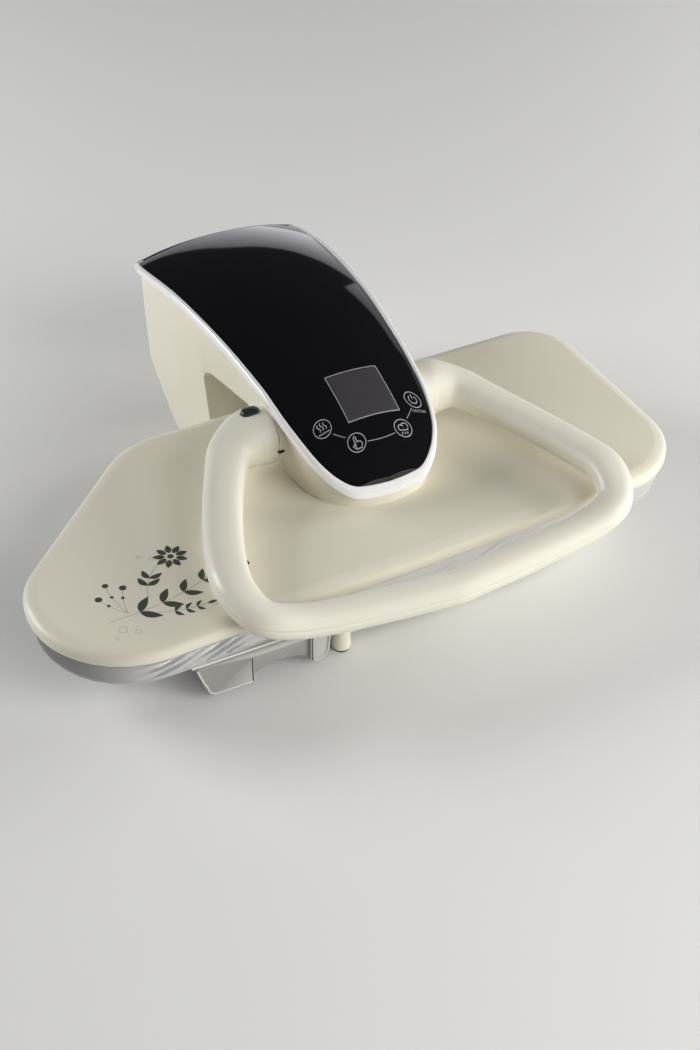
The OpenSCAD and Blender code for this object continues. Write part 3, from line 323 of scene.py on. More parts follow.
# The tank's strong edge lightening, edge=0.75, is a painted highlight for the glints on its clear edges.
smoky = finish("tank_smoke", (0.27, 0.26, 0.25), 0.24, spread=0.04, bump=0.03, coat=0.35, vary=0.12,
               drift=16.0, edge=0.75)
# a pale plastic for beads that paint the glints on the tank's clear edges as a highlight
painted_glint_plastic = finish("painted_glint_plastic", (0.62, 0.61, 0.60), 0.18, spread=0.04, bump=0.02, coat=0.6, vary=0.06)
black_gloss = finish("black_gloss", (0.006, 0.006, 0.008), 0.07, spread=0.015, bump=0.0, coat=1.0,
                     vary=0.2, grain=500, edge=0.0)
display = finish("display_grey", (0.060, 0.057, 0.062), 0.16, spread=0.03, bump=0.01, coat=0.6, vary=0.12)
silver = finish("rim_silver", (0.90, 0.90, 0.90), 0.26, spread=0.05, metal=0.06, bump=0.01, coat=0.6,
                vary=0.02)
alloy = finish("plate_aluminium", (0.66, 0.67, 0.68), 0.4, spread=0.12, metal=1.0, bump=0.1,
               stretch=(0.15, 1.0))
ceramic = finish("ceramic", (0.80, 0.78, 0.74), 0.6, bump=0.15)
dark_button = finish("button_dark", (0.022, 0.030, 0.034), 0.35, bump=0.08, coat=0.2)
# ink for the print, also used for the painted shade lines at the tank's recess
print_and_painted_shade_ink = finish("print_and_painted_shade_ink", (0.060, 0.070, 0.055), 0.45, vary=0.25, drift=220.0, bump=0.02)
pale_ink = finish("pale_ink", (0.50, 0.49, 0.44), 0.45, vary=0.1, drift=220.0, bump=0.02)
icon_ink = finish("icon_ink", (0.36, 0.36, 0.38), 0.35, vary=0.08, drift=300.0, bump=0.02)
pale_floor = finish("pale_floor", (0.86, 0.86, 0.85), 0.55, vary=0.008, drift=1.2, grain=260, bump=0.02)
floor.data.materials.append(pale_floor)
print("finishes:", len(bpy.data.materials))

# %% [markdown]
# The CAD solids that stay in view, and those hidden inside, get the finish of their slot. That
# takes one table from the record's slot names to the finishes above.

# %% Finish every CAD node
slot_finish = {
    "ivory_plastic": ivory, "foot_rubber": rubber, "board_grey": board_grey, "foam": white_plastic,
    "silver_cloth": white_plastic, "steel": steel, "bronze": bronze, "pump_plastic": pump_plastic,
    "white_plastic": white_plastic, "silicone": silicone, "black_rubber": black_rubber,
    "board_green": board_green, "tank_plastic": smoky, "black_gloss": black_gloss,
    "display_grey": display, "rim_silver": silver, "plate_aluminium": alloy, "ceramic": ceramic,
    "spring_steel": wire_steel, "button_dark": dark_button}
node_slot = {row["node"]: row["material_slot"] for row in frame["record"]["subparts"]}
for name, node in frame["nodes"].items():
    node.data.materials.clear()
    node.data.materials.append(slot_finish[node_slot[name]])
print("dressed", len(frame["nodes"]), "CAD nodes")

# %% [markdown]
# The curved pieces follow a few listed stations. A spline runs smoothly through them, and a table
# gives the value between two stations. Typing every point by hand would never look smooth. These
# are the same rules that the CAD follows, with finer steps.

# %% Splines and tables
def spline(rows, steps):
    out = []
    for i in range(len(rows) - 1):
        a, b, c, e = rows[max(i - 1, 0)], rows[i], rows[i + 1], rows[min(i + 2, len(rows) - 1)]
        for k in range(steps):
            t = k / steps
            out.append(tuple((2 * q + (r - p) * t + (2 * p - 5 * q + 4 * r - s) * t * t
                              + (3 * q - p - 3 * r + s) * t ** 3) / 2 for p, q, r, s in zip(a, b, c, e)))
    return out + [tuple(rows[-1])]


def read(table, x):
    i = 0
    while i < len(table) - 2 and x > table[i + 1][0]:
        i += 1
    (x0, v0), (x1, v1) = table[i], table[i + 1]
    return v0 + (v1 - v0) * (x - x0) / (x1 - x0)


print("spline through 3 stations:", [round(v[1], 2) for v in spline([(0, 0), (1, 1), (2, 0)], 2)])

# %% [markdown]
# Boards and covers start as a closed outline seen from above. Three helpers work on one: the first
# rounds its corners, the second moves it inwards and the third spreads its points evenly, which
# folds and ribs need.

# %% Outline helpers
def rounded(corners, steps):
    out = []
    for i, (x, y, r) in enumerate(corners):
        a, b, c = Vector(corners[i - 1][:2]), Vector((x, y)), Vector(corners[(i + 1) % len(corners)][:2])
        u, v = (a - b).normalized(), (c - b).normalized()
        half = math.acos(max(-1, min(1, u.dot(v)))) / 2
        middle = b + (u + v).normalized() * r / math.sin(half)
        p, q = b + u * r / math.tan(half) - middle, b + v * r / math.tan(half) - middle
        start, end = math.atan2(p.y, p.x), math.atan2(q.y, q.x)
        sweep = (end - start + 3 * math.pi) % (2 * math.pi) - math.pi
        out += [(middle.x + r * math.cos(start + sweep * k / steps),
                 middle.y + r * math.sin(start + sweep * k / steps)) for k in range(steps + 1)]
    return out


def inset(ring, d):
    out = []
    for i, p in enumerate(ring):
        a, b, c = Vector(ring[i - 1]), Vector(p), Vector(ring[(i + 1) % len(ring)])
        e, f = (b - a).normalized(), (c - b).normalized()
        n, m = Vector((-e.y, e.x)), Vector((-f.y, f.x))
        moved = b + d * (n + m) / max(0.5, 1 + n.dot(m))
        out.append((moved.x, moved.y))
    return out


def even(ring, count):
    steps = [(Vector(ring[(i + 1) % len(ring)]) - Vector(p)).length for i, p in enumerate(ring)]
    whole, out, i, gone = sum(steps), [], 0, 0.0
    for k in range(count):
        want = whole * k / count
        while gone + steps[i] < want:
            gone += steps[i]
            i += 1
        t = (want - gone) / steps[i] if steps[i] else 0
        p, q = Vector(ring[i]), Vector(ring[(i + 1) % len(ring)])
        out.append(tuple(p + (q - p) * t))
    return out


SQUARE = inset(rounded([(0, 0, 2), (10, 0, 2), (10, 10, 2), (0, 10, 2)], 4), 1)
print("a square of 10 mm moved in by 1 mm is", round(max(x for x, y in SQUARE) - 1, 2), "mm wide")

# %% [markdown]
# Most of the press is lofted: a closed section is carried from station to station and changes on
# the way. In Blender that is a circle whose edge loop is extruded again and again, each new loop
# moved to the next section. The helper does this in edit mode and caps the ends. A short trial tube
# shows that it works.

# %% The loft
def loft(name, rings, loop=False, caps=True):
    clear()
    bpy.ops.mesh.primitive_circle_add(vertices=len(rings[0]), radius=0.01)
    piece = bpy.context.object
    piece.name = piece.data.name = name
    bpy.ops.object.mode_set(mode="EDIT")
    bpy.ops.mesh.select_mode(type="VERT")
    bpy.ops.mesh.select_all(action="SELECT")
    mesh = bmesh.from_edit_mesh(piece.data)
    mesh.verts.ensure_lookup_table()
    for vert, place in zip(mesh.verts, rings[0]):
        vert.co = here(*place)
    last = {k: k for k in range(len(rings[0]))}
    for ring in rings[1:] + ([rings[0]] if loop else []):
        bpy.ops.mesh.extrude_region_move()
        mesh = bmesh.from_edit_mesh(piece.data)
        mesh.verts.index_update()
        now = {}
        for vert in (v for v in mesh.verts if v.select):
            partner = next(e.other_vert(vert) for e in vert.link_edges if not e.other_vert(vert).select)
            now[vert.index] = last[partner.index]
            vert.co = here(*ring[now[vert.index]])
        last = now
    if caps and not loop:
        bpy.ops.mesh.edge_face_add()
        bpy.ops.mesh.select_all(action="DESELECT")
        mesh = bmesh.from_edit_mesh(piece.data)
        mesh.verts.ensure_lookup_table()
        for vert in mesh.verts[:len(rings[0])]:
            vert.select = True
        mesh.select_flush(True)
        bpy.ops.mesh.edge_face_add()
    bpy.ops.mesh.select_all(action="SELECT")
    bpy.ops.mesh.remove_doubles(threshold=1e-6)
    bpy.ops.mesh.normals_make_consistent(inside=False)
    bpy.ops.object.mode_set(mode="OBJECT")
    return piece

TRIAL = [[(10, 0, z), (0, 10, z), (-10, 0, z), (0, -10, z)] for z in (0, 5)]
trial_tube = loft("trial_tube", TRIAL)
print("a trial tube has", len(trial_tube.data.polygons), "faces")
bpy.data.objects.remove(trial_tube)

# %% [markdown]
# Operators act on what is selected, so one helper picks a piece and nothing else. The others smooth
# the shading up to a given angle, apply the modifiers, give a moulded edge with a bevel of a few
# rows, and join small pieces into one.

# %% Shaping helpers
def pick(*pieces):
    clear()
    for piece in pieces:
        piece.select_set(True)
    bpy.context.view_layer.objects.active = pieces[0]


def smooth(piece, degrees=35):
    pick(piece)
    bpy.ops.object.shade_smooth_by_angle(angle=math.radians(degrees))


def apply_all(piece):
    pick(piece)
    for modifier in list(piece.modifiers):
        bpy.ops.object.modifier_apply(modifier=modifier.name)


def bevel(piece, width, segments=3, degrees=30):
    soft = piece.modifiers.new("soft_edge", "BEVEL")
    soft.width, soft.segments, soft.limit_method = width * MM, segments, "ANGLE"
    soft.angle_limit = math.radians(degrees)
    soft.miter_outer = "MITER_ARC"
    apply_all(piece)


def joined(parts, name):
    pick(*parts)
    bpy.ops.object.join()
    whole = bpy.context.object
    whole.name = whole.data.name = name
    return whole


face_counts = {name: len(node.data.polygons) for name, node in frame["nodes"].items()}
print("the CAD node with most faces:", max(face_counts, key=face_counts.get))

# %% [markdown]
# The last steps are the same for each piece: give it its finish, say which CAD body it rides on
# and which CAD nodes it replaces. Some pieces start as a copy of a CAD node. Its mesh is loose
# triangles, so the copy is merged before it gets soft edges.

# %% Dressing helpers
def dress(piece, body, material, slot, *nodes):
    piece.data.materials.clear()
    piece.data.materials.append(material)
    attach(piece, body)
    if nodes:
        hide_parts(*nodes)
    print(piece.name, "->", body, len(piece.data.polygons), "faces")
    return piece


def copy_of(node, name):
    source = frame["nodes"][node]
    piece = source.copy()
    piece.data = source.data.copy()
    piece.parent = None
    piece.name = piece.data.name = name
    bpy.context.collection.objects.link(piece)
    pick(piece)
    bpy.ops.object.mode_set(mode="EDIT")
    bpy.ops.mesh.select_all(action="SELECT")
    bpy.ops.mesh.remove_doubles(threshold=2e-6)
    bpy.ops.mesh.dissolve_limited(angle_limit=math.radians(0.6))
    bpy.ops.object.mode_set(mode="OBJECT")
    return piece


print("CAD faces to copy from:", sum(face_counts.values()))

# %% [markdown]
# Seen from above, the shoe cover is an oblong with a round nose and a slanted cut at the back left,
# and the board under it has the same outline. Six corners with their radii give it. The neck's two
# outlines, at its foot and at the head, are typed for one half and mirrored.

# %% Outlines of the board and the neck
CORNERS = [(-366, -184.5, 96), (0, -171.5, 400), (308, -156.5, 82), (312, 132, 54), (-195, 126, 90),
           (-366, -48, 80)]
BOARD = rounded(CORNERS, 16)
NECK_Y, FAN_CENTRE = 63.6, (0, -10)
NECK_FOOT = [(0, -86), (24, -83), (44, -73), (58, -54), (67, -32), (70, -6), (71, 28), (71, NECK_Y)]
NECK_HEAD = [(0, -83), (21, -81.6), (41, -76.6), (56, -64), (66, -44), (73, -10), (78, 32), (81, NECK_Y)]


def both_halves(half):
    return list(half) + [(-x, *rest) for x, *rest in reversed(half[1:])]


def neck_plan(k, steps=6):
    return both_halves(spline([(a[0] + (b[0] - a[0]) * k, a[1] + (b[1] - a[1]) * k)
                               for a, b in zip(NECK_FOOT, NECK_HEAD)], steps))


def lifted(ring, z):
    return [(x, y, z) for x, y in ring]


def ray_ring(ring, target):
    centre, out = Vector(FAN_CENTRE), []
    for x, y in ring:
        direction = (Vector((x, y)) - centre).normalized()
        best = None
        for i, p in enumerate(target):
            a, b = Vector(p) - centre, Vector(target[(i + 1) % len(target)]) - centre
            cross = direction.cross(b - a)
            if abs(cross) < 1e-9:
                continue
            far, part = a.cross(b - a) / cross, a.cross(direction) / cross
            if far > 0 and -1e-6 <= part <= 1 + 1e-6:
                best = far if best is None else max(best, far)
        spot = centre + direction * best
        out.append((spot.x, spot.y))
    return out

print("board outline:", len(BOARD), "points")

# %% [markdown]
# The shoe cover is one large moulding. Its edge rolls over in a soft shoulder, about 13 mm wide, so
# the outline is carried up and inwards along the shoulder's section. The top runs in to the neck,
# where a narrow moat lets the cover float under the head. There the rings take the neck's outline,
# point by point, so that the faces of the flat top fan out evenly.

# %% Shoe cover
COVER_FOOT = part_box("shoe_cover")[0].z / MM
MOAT_GAP, MOAT_WALL, MOAT_DEEP = 0.6, 4, 5.4
SHOULDER = [(COVER_FOOT + 7, 3.2), (COVER_FOOT + 0.5, 3.2), (COVER_FOOT, 2.8), (COVER_FOOT, 1.5),
            (COVER_FOOT + 0.4, 0.9), (COVER_FOOT + 1.5, 0.55), (COVER_FOOT + 4, 0.15), (TOP - 9, 0.05),
            (TOP - 6.6, 0.35), (TOP - 4.9, 1.2), (TOP - 3.4, 2.8), (TOP - 2.2, 5.0), (TOP - 1.2, 7.8),
            (TOP - 0.5, 10.6), (TOP - 0.12, 12.6), (TOP, 14.2)]
moat = ray_ring(BOARD, inset(neck_plan(0), -MOAT_GAP))
moat_floor = ray_ring(BOARD, inset(neck_plan(0), MOAT_WALL))
cover_rings = [lifted(inset(BOARD, d), z) for z, d in SHOULDER]
cover_rings += [lifted(moat, TOP), lifted(moat, TOP - MOAT_DEEP), lifted(moat_floor, TOP - MOAT_DEEP)]
cover = loft("cover_shell", cover_rings, caps=False)
smooth(cover, 30)
dress(cover, "shoe", ivory, "ivory_plastic", "shoe_cover")

# %% [markdown]
# The handle is a loop of changing section: round at its hubs, flatter and slimmer at the front
# bar. The real one is two half shells with a fine joint line at the sides, so the section has a
# small groove there. Each station gives a place, a width and a height.

# %% Handle
GRIP = [(81, 22, 38, 57, 55), (84, 22, 38, 57, 55), (102, 22, 38, 56, 54), (125, 11, 36, 45, 39),
        (141, -13, 32.5, 40.5, 33), (156.5, -42, 29.5, 38.5, 29), (175, -83, 25.5, 38, 28),
        (190, -124, 23, 38, 28), (197, -156, 21, 37, 28.5), (192, -182, 12.5, 34.5, 29),
        (178, -196, 5, 33, 30), (141, -201.5, -5, 31.5, 30.5), (75, -207.5, -10, 31, 31),
        (0, -214, -12, 31, 31)]
SOFT_SQUARE = 2 / 2.4
GRIP_ANGLES = [0, 2.2, 7] + list(range(16, 170, 9)) + [173, 177.8]
GRIP_ANGLES += [a + 180 for a in GRIP_ANGLES]


def power(value, p):
    return math.copysign(abs(value) ** p, value)


def grip_rings(steps=6, groove=0.55):
    half = spline(GRIP, steps)
    line = [(-q[0], *q[1:]) for q in half] + list(reversed(half[:-1]))
    rings = []
    for i, (x, y, z, width, height) in enumerate(line):
        ahead, behind = line[min(i + 1, len(line) - 1)], line[max(i - 1, 0)]
        travel = (Vector(ahead[:3]) - Vector(behind[:3])).normalized()
        side = Vector((0, 0, 1)).cross(travel).normalized()
        up = travel.cross(side)
        ring = []
        for a in GRIP_ANGLES:
            cut = groove if a in (0, 180) else 0
            c, s = math.cos(math.radians(a)), math.sin(math.radians(a))
            spot = (Vector((x, y, z + TOP)) + side * power(c, SOFT_SQUARE) * (width / 2 - cut)
                    + up * power(s, SOFT_SQUARE) * (height / 2 - cut))
            ring.append(tuple(spot))
        rings.append(ring)
    return rings


grip = grip_rings()
handle = loft("loop_handle", grip)
print("handle stations:", len(grip))

# %% [markdown]
# An oval button sits on top of the left hub. Its well is cut into the handle with a Boolean, half a
# millimetre larger than the button. The button is an oval carried up in rings that close in, which
# gives it a soft domed top.

# %% Button and its well
AXIS_Y, AXIS_Z, WELL_GAP = 22, TOP + 38, 0.5
BUTTON_X, BUTTON_Y, BUTTON_FLAT, BUTTON_R = -96, 27, 3.0, 6.5
BUTTON_RINGS = [(0, 20.5), (0, 28.4), (-0.5, 29.4), (-1.3, 30.2), (-2.8, 30.9), (-4.6, 31.2)]


def oval(grow, z, steps=12):
    r, angles = BUTTON_R + grow, [math.pi * (k + 0.5) / steps for k in range(2 * steps)]
    return [(BUTTON_X + math.copysign(BUTTON_FLAT, math.cos(a)) + r * math.cos(a),
             BUTTON_Y + r * math.sin(a), z) for a in angles]


well = loft("well_cutter", [oval(WELL_GAP, AXIS_Z + up) for up in (17.4, 34)])
cut = handle.modifiers.new("well", "BOOLEAN")
cut.object, cut.operation, cut.solver = well, "DIFFERENCE", "EXACT"
apply_all(handle)
bpy.data.objects.remove(well)
smooth(handle, 32)
dress(handle, "handle", ivory_satin, "ivory_plastic", "handle_top", "handle_bottom")
button = loft("hub_button", [oval(grow, AXIS_Z + up) for grow, up in BUTTON_RINGS])
smooth(button, 40)
dress(button, "button", dark_button, "button_dark", "lock_button")

# %% [markdown]
# The head is a long hood seen from above: narrow at its tip, wider at the back. Three tables carry
# it. The first gives its half width at each station, the second the height of its rim, and the
# third how far the hood's middle stands above the rim. A table is easy to read and to correct.

# %% Head tables
RIM_PLAN = [(0, -87), (20, -86), (38, -83), (52, -74), (63, -61), (71, -42), (78, -8), (82, 34), (86, 78),
            (92, 148), (96, 211), (99, 270), (99, 310), (96, 329)]
RIM_SIDE = [(-92, 12), (-87, 18), (-80, 25), (-70, 34), (-58, 44), (-42, 54), (-20, 64), (5, 73), (34, 82),
            (78, 90), (120, 95), (165, 97), (211, 96), (250, 92), (290, 85), (330, 76), (336, 75)]
CROWN = [(-90, 4), (-72, 11), (-57, 15), (-14, 17), (60, 16), (200, 16), (300, 14), (330, 13)]
CROWN = [(-90, 4), (-72, 11), (-57, 15), (-14, 17), (60, 16), (200, 16), (300, 14), (330, 13)]
RIM_END, RIM_WIDE, RIM_DROP, BACK_HALF = 329, 4.8, 8, 96
DOME, ARCH_SHARE = 2.2, 0.95
head_half = spline(RIM_PLAN, 6)
rim_line = spline(RIM_SIDE, 8)
crown_line = spline(CROWN, 6)


def mirrored(half):
    return [(-x, y) for x, y in reversed(half[1:])]


def rim_z(y):
    return TOP + read(rim_line, y)


back_edge = [(BACK_HALF * math.cos(math.radians(a)), RIM_END) for a in range(24, 160, 6)]
head_ring = head_half + back_edge + mirrored(head_half)


def rim_lift(x, y):
    if y <= RIM_END - 1:
        return 0
    return ARCH_SHARE * read(crown_line, RIM_END) * max(0, 1 - abs(x / BACK_HALF) ** DOME)


print("points round the head:", len(head_ring))

# %% [markdown]
# The bright rim is a moulded strip that frames the hood and arches over it at the back. It is a
# closed loop, so a rounded section is carried round the outline and joined to its own start. The
# gloss of the hood runs on over the inner part of the arch, and those faces are black.

# %% Bright rim
def rim_section(edge, inner, soft):
    (x, y), (u, v), (p, q) = edge, inner, soft
    high, low = rim_z(y) + rim_lift(x, y), rim_z(v)
    rise = low - rim_z(y)
    return [(x, y, rim_z(y) - RIM_DROP), (u, v, low - RIM_DROP), (u, v, high + rise - 0.9),
            (u + (p - u) * 0.25, v + (q - v) * 0.25, high + rise * 0.8 - 0.25),
            (u + (p - u) * 0.6, v + (q - v) * 0.6, high + rise * 0.5), (p, q, high + rise * 0.25 - 0.15),
            (x + (p - x) * 0.4, y + (q - y) * 0.4, high - 0.9), (x, y, high - 2.2)]


edges = zip(head_ring, inset(head_ring, RIM_WIDE), inset(head_ring, 2.0))
rim = loft("bright_rim", [rim_section(*spots) for spots in edges], loop=True)
smooth(rim, 50)
dress(rim, "arm", silver, "rim_silver", "rim_trim")
rim.data.materials.append(black_gloss)
BLACK_FROM, BLACK_TO, BLACK_HALF, BLACK_LOW = RIM_END - RIM_WIDE - 1, RIM_END - 1.3, 90, rim_z(RIM_END) - 4
for face in rim.data.polygons:
    spot = face.center / MM - ARM_SHIFT
    if BLACK_FROM < spot.y < BLACK_TO and abs(spot.x) < BLACK_HALF and spot.z > BLACK_LOW:
        face.material_index = 1
print("black faces of the arch:", sum(face.material_index for face in rim.data.polygons))

# %% [markdown]
# The hood panel is one sheet of lacquered plastic, domed from side to side. A gloss surface shows
# every facet, so it gets many narrow ribs. Towards the back it rises to meet the rim's arch, on a
# gentle ramp, because a sudden one would show as a crease in the reflections.

# %% Hood panel
HOOD_THICK, HOOD_SINK = 2.4, 3
RISE_FROM, RISE_RUN, RISE_HIGH, RISE_EASE = 215, 107, 3.1, 1.4
hood_edge = inset(head_half + mirrored(head_half), RIM_WIDE + 0.2)[1:len(head_half)]
hood_edge += [(91.8, 325.4), (92.5, 326.6), (93.0, 327.5), (93.3, 328.1)]
hood_width = sorted((y, x) for x, y in hood_edge)


def hood_z(x, y, w=None):
    w = read(hood_width, y) if w is None else w
    rise = RISE_HIGH * max(0.0, (y - RISE_FROM) / RISE_RUN) ** RISE_EASE
    return rim_z(y) - HOOD_SINK + rise + read(crown_line, y) * (1 - min(1, abs(x / w)) ** DOME)


def hood_rib(w, y, steps=22):
    xs = [w * math.cos(math.pi * k / steps) for k in range(steps + 1)]
    return ([(x, y, hood_z(x, y, w)) for x in xs]
            + [(x, y, hood_z(x, y, w) - HOOD_THICK) for x in reversed(xs)])


hood = loft("hood_shell", [hood_rib(w, y) for w, y in reversed(hood_edge)])
smooth(hood, 40)
dress(hood, "arm", black_gloss, "black_gloss", "hood_panel")

# %% [markdown]
# The display window is a smoked pane in the hood, with a fine grey line round it. It lies in the
# same dome, so both are patches of the hood's surface, and they stand at most 0.3 mm proud of it.

# %% Display window
glass = [(corner / MM - ARM_SHIFT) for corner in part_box("display_lens")]
DISPLAY_X, DISPLAY_Y = (glass[0].x + glass[1].x) / 2, (glass[0].y + glass[1].y) / 2
DISPLAY_HALF, DISPLAY_RUN = 27.0, 25.4
PANE = [(0, -1.5), (0, 0.05), (-0.35, 0.28), (-4, 0.3), (-10, 0.3), (-17, 0.3), (-22, 0.3), (-24.5, 0.3)]
PANE_LINE = [(0.9, -0.6), (0.9, 0.16), (0.15, 0.2), (0.15, -0.6)]


def window_ring(grow, lift, steps=12):
    half, run = DISPLAY_HALF + grow, DISPLAY_RUN + grow
    ring = []
    for k in range(4 * steps):
        t = (k % steps) / steps * 2 - 1
        u, v = [(t, -1), (1, t), (-t, 1), (-1, -t)][k // steps]
        x, y = DISPLAY_X + u * half, DISPLAY_Y + v * run
        ring.append((x, y, hood_z(x, y) + lift))
    return ring


window = loft("display_window", [window_ring(*row) for row in PANE])
smooth(window, 50)
dress(window, "arm", display, "display_grey", "display_lens")
frame_line = loft("display_frame", [window_ring(*row) for row in PANE_LINE], loop=True)
smooth(frame_line, 50)
dress(frame_line, "arm", icon_ink, "display_grey")

# %% [markdown]
# Printed marks lie on the dome and bend with it. A decal would do for a picture, but the meshes
# handed on need real strokes. So each mark is a thin ribbon: its path is drawn flat round a centre,
# and each point is then laid on the dome, with its distance measured along the slope.

# %% Strokes on the dome
MARK_LIFT, MARK_DEEP = 0.14, 0.3


def on_hood(cx, cy, u, v, lift=MARK_LIFT):
    slope_x = (hood_z(cx + 1, cy) - hood_z(cx - 1, cy)) / 2
    slope_y = (hood_z(cx, cy + 1) - hood_z(cx, cy - 1)) / 2
    x = cx + u / math.sqrt(1 + slope_x ** 2)
    y = cy + v / math.sqrt(1 + slope_y ** 2)
    return x, y, hood_z(x, y) + lift


def sunk(spot, depth):
    return (spot[0], spot[1], spot[2] - depth)


def stroke(name, centre, path, width, closed=False):
    rings, n = [], len(path)
    for i, (u, v) in enumerate(path):
        a = path[(i - 1) % n] if closed or i else path[0]
        b = path[(i + 1) % n] if closed or i < n - 1 else path[-1]
        run = Vector((b[0] - a[0], b[1] - a[1])).normalized()
        nx, ny = -run.y * width / 2, run.x * width / 2
        left = on_hood(*centre, u + nx, v + ny)
        right = on_hood(*centre, u - nx, v - ny)
        rings.append([left, right, sunk(right, MARK_DEEP), sunk(left, MARK_DEEP)])
    return loft(name, rings, loop=closed)


def arc(r, start, end, steps=24, cx=0.0, cy=0.0):
    angles = [math.radians(start + (end - start) * k / steps) for k in range(steps + 1)]
    return [(cx + r * math.cos(a), cy + r * math.sin(a)) for a in angles]


def wavy(x, low, high, swing=1.1, steps=10):
    return [(x + swing * math.sin(2 * math.pi * k / steps), low + (high - low) * k / steps)
            for k in range(steps + 1)]


print("a mark at the hood's middle lies at", [round(v, 2) for v in on_hood(0, 0, 0, 0)])

# %% [markdown]
# Four touch rings stand round the window's front. The strokes inside them are plain signs: rising
# steam, a pointer, a cloud of steam and the usual power mark.

# %% Rings and signs
RING_R, RING_LINE, SIGN_LINE = 9.2, 0.8, 0.95
RINGS = {"steam": (-46.5, -31), "select": (-21.5, -54.5), "boost": (29.5, -53), "power": (54.5, -26)}
SIGNS = {
    "steam": [wavy(-3.4, -2, 5.5), wavy(0, -2, 6.5), wavy(3.4, -2, 5.5), [(-6, -4.8), (6, -4.8)]],
    "select": [[(-2, -6), (-2, 5), (-0.8, 6.4), (0.4, 5), (0.4, -0.5)],
               [(0.4, 0.8), (4.2, -0.4), (4.8, -3), (3.4, -6.4), (-2, -6.4)],
               [(-2, -1), (-4.8, -2.6), (-2.6, -6.2)]],
    "boost": [arc(2.8, 20, 200, cx=-2.2, cy=0.6), arc(3.4, -10, 170, cx=2.0, cy=1.6),
              [(-5.2, -0.6), (-4.6, -2.2), (4.4, -2.2), (5.3, -0.2)],
              [(-2.4, -4.2), (-3.2, -6.6)], [(0.6, -4.2), (-0.2, -6.6)], [(3.4, -4.2), (2.6, -6.6)]],
    "power": [arc(4.6, 125, 415), [(0, 6.4), (0, 0.6)]]}
marks = []
for label, centre in RINGS.items():
    marks.append(stroke("ring_" + label, centre, arc(RING_R, 0, 360, 48)[:-1], RING_LINE, closed=True))
    for k, path in enumerate(SIGNS[label]):
        marks.append(stroke(f"sign_{label}_{k}", centre, path, SIGN_LINE))
print("strokes:", len(marks))

# %% [markdown]
# A thin arc joins each ring to the next. It starts and ends a little outside the rings and sags
# towards the tip of the hood.

# %% Arcs between the rings
LINK_GAP, LINK_LINE, LINK_STEPS = 10.4, 0.55, 12


def link(a, b, sag):
    (ax, ay), (bx, by) = RINGS[a], RINGS[b]
    run = Vector((bx - ax, by - ay))
    down = Vector((run.y, -run.x)).normalized() * sag
    path = []
    for k in range(LINK_STEPS + 1):
        t = (LINK_GAP + (run.length - 2 * LINK_GAP) * k / LINK_STEPS) / run.length
        spot = run * t + down * math.sin(math.pi * t)
        path.append((ax + spot.x, ay + spot.y))
    return path


for a, b, sag in (("steam", "select", 1.5), ("select", "boost", 4.0), ("boost", "power", 1.5)):
    path = link(a, b, sag)
    cx, cy = path[LINK_STEPS // 2]
    marks.append(stroke(f"link_{a}", (cx, cy), [(x - cx, y - cy) for x, y in path], LINK_LINE))
print("strokes with the arcs:", len(marks))

# %% [markdown]
# The words ON and OFF stand under the power ring. A text object is made a mesh first, and then each
# of its points is laid on the dome like the strokes. All marks are one colour of ink and never move
# apart, so they are joined.

# %% The ON and OFF words
WORD_SIZE, WORD_DOWN, WORD_LIFT = 4.6, 13.4, 0.16
clear()
bpy.ops.object.text_add()
words = bpy.context.object
words.data.body = "ON/OFF"
words.data.size, words.data.align_x, words.data.align_y = WORD_SIZE, "CENTER", "CENTER"
words.data.resolution_u = 3
bpy.ops.object.convert(target="MESH")
words = bpy.context.object
words.name = words.data.name = "power_words"
for vert in words.data.vertices:
    vert.co = here(*on_hood(*RINGS["power"], vert.co.x + 1, vert.co.y - WORD_DOWN, WORD_LIFT))
marks.append(words)
dress(joined(marks, "hood_marks"), "arm", icon_ink, "display_grey")

# %% [markdown]
# The neck grows out of the cover and widens into the head. At its foot it has the moat's outline,
# at its top that of the head, and its upper edge climbs with the rim. So each point of the outline
# has its own height to reach, and the loft runs between the two.

# %% Head front
WIDEN = [(-1, 0.0), (6, 0.0), (10, 0.1), (15, 0.3), (30, 0.7), (40, 0.92), (46, 1.0), (110, 1.0)]
NECK_WALL, NECK_UNDER = 2.4, 0.3


def neck_rings(steps=16, foot=TOP - 0.6):
    base, top = neck_plan(0), neck_plan(1)
    ends = []
    for (bx, by), (tx, ty) in zip(base, top):
        z = rim_z(ty) - RIM_DROP - NECK_UNDER
        for _ in range(4):
            z = rim_z(by + (ty - by) * read(WIDEN, z - TOP)) - RIM_DROP - NECK_UNDER
        ends.append(z)
    rings = []
    for step in range(steps + 1):
        ring = []
        for end, (bx, by), (tx, ty) in zip(ends, base, top):
            z = foot + (end - foot) * step / steps
            k = read(WIDEN, z - TOP)
            ring.append((bx + (tx - bx) * k, by + (ty - by) * k, z))
        rings.append(ring)
    return rings


neck = loft("head_neck", neck_rings(), caps=False)
wall = neck.modifiers.new("wall", "SOLIDIFY")
wall.thickness, wall.offset = NECK_WALL * MM, -1
apply_all(neck)
smooth(neck, 50)
dress(neck, "arm", ivory, "ivory_plastic", "head_front")

# %% [markdown]
# Round hubs stand out of the head on both sides and carry the handle. The real ones are turned
# forms with a fine groove near the seam, so each is a row of circles along the handle's axis.

# %% Hubs
HUB_PROFILE = [(62, 29.6), (76.6, 29.6), (77.2, 29.3), (77.5, 28.8), (77.9, 28.8), (78.2, 29.3), (78.8, 29.6),
               (79.6, 29.5), (80.2, 29.1), (80.5, 28.2)]


def hub(name, side):
    angles = [math.pi * k / 48 for k in range(96)]
    rings = [[(side * x, AXIS_Y + r * math.cos(a), AXIS_Z + r * math.sin(a)) for a in angles]
             for x, r in HUB_PROFILE]
    piece = loft(name, rings)
    smooth(piece, 40)
    return dress(piece, "arm", ivory, "ivory_plastic")


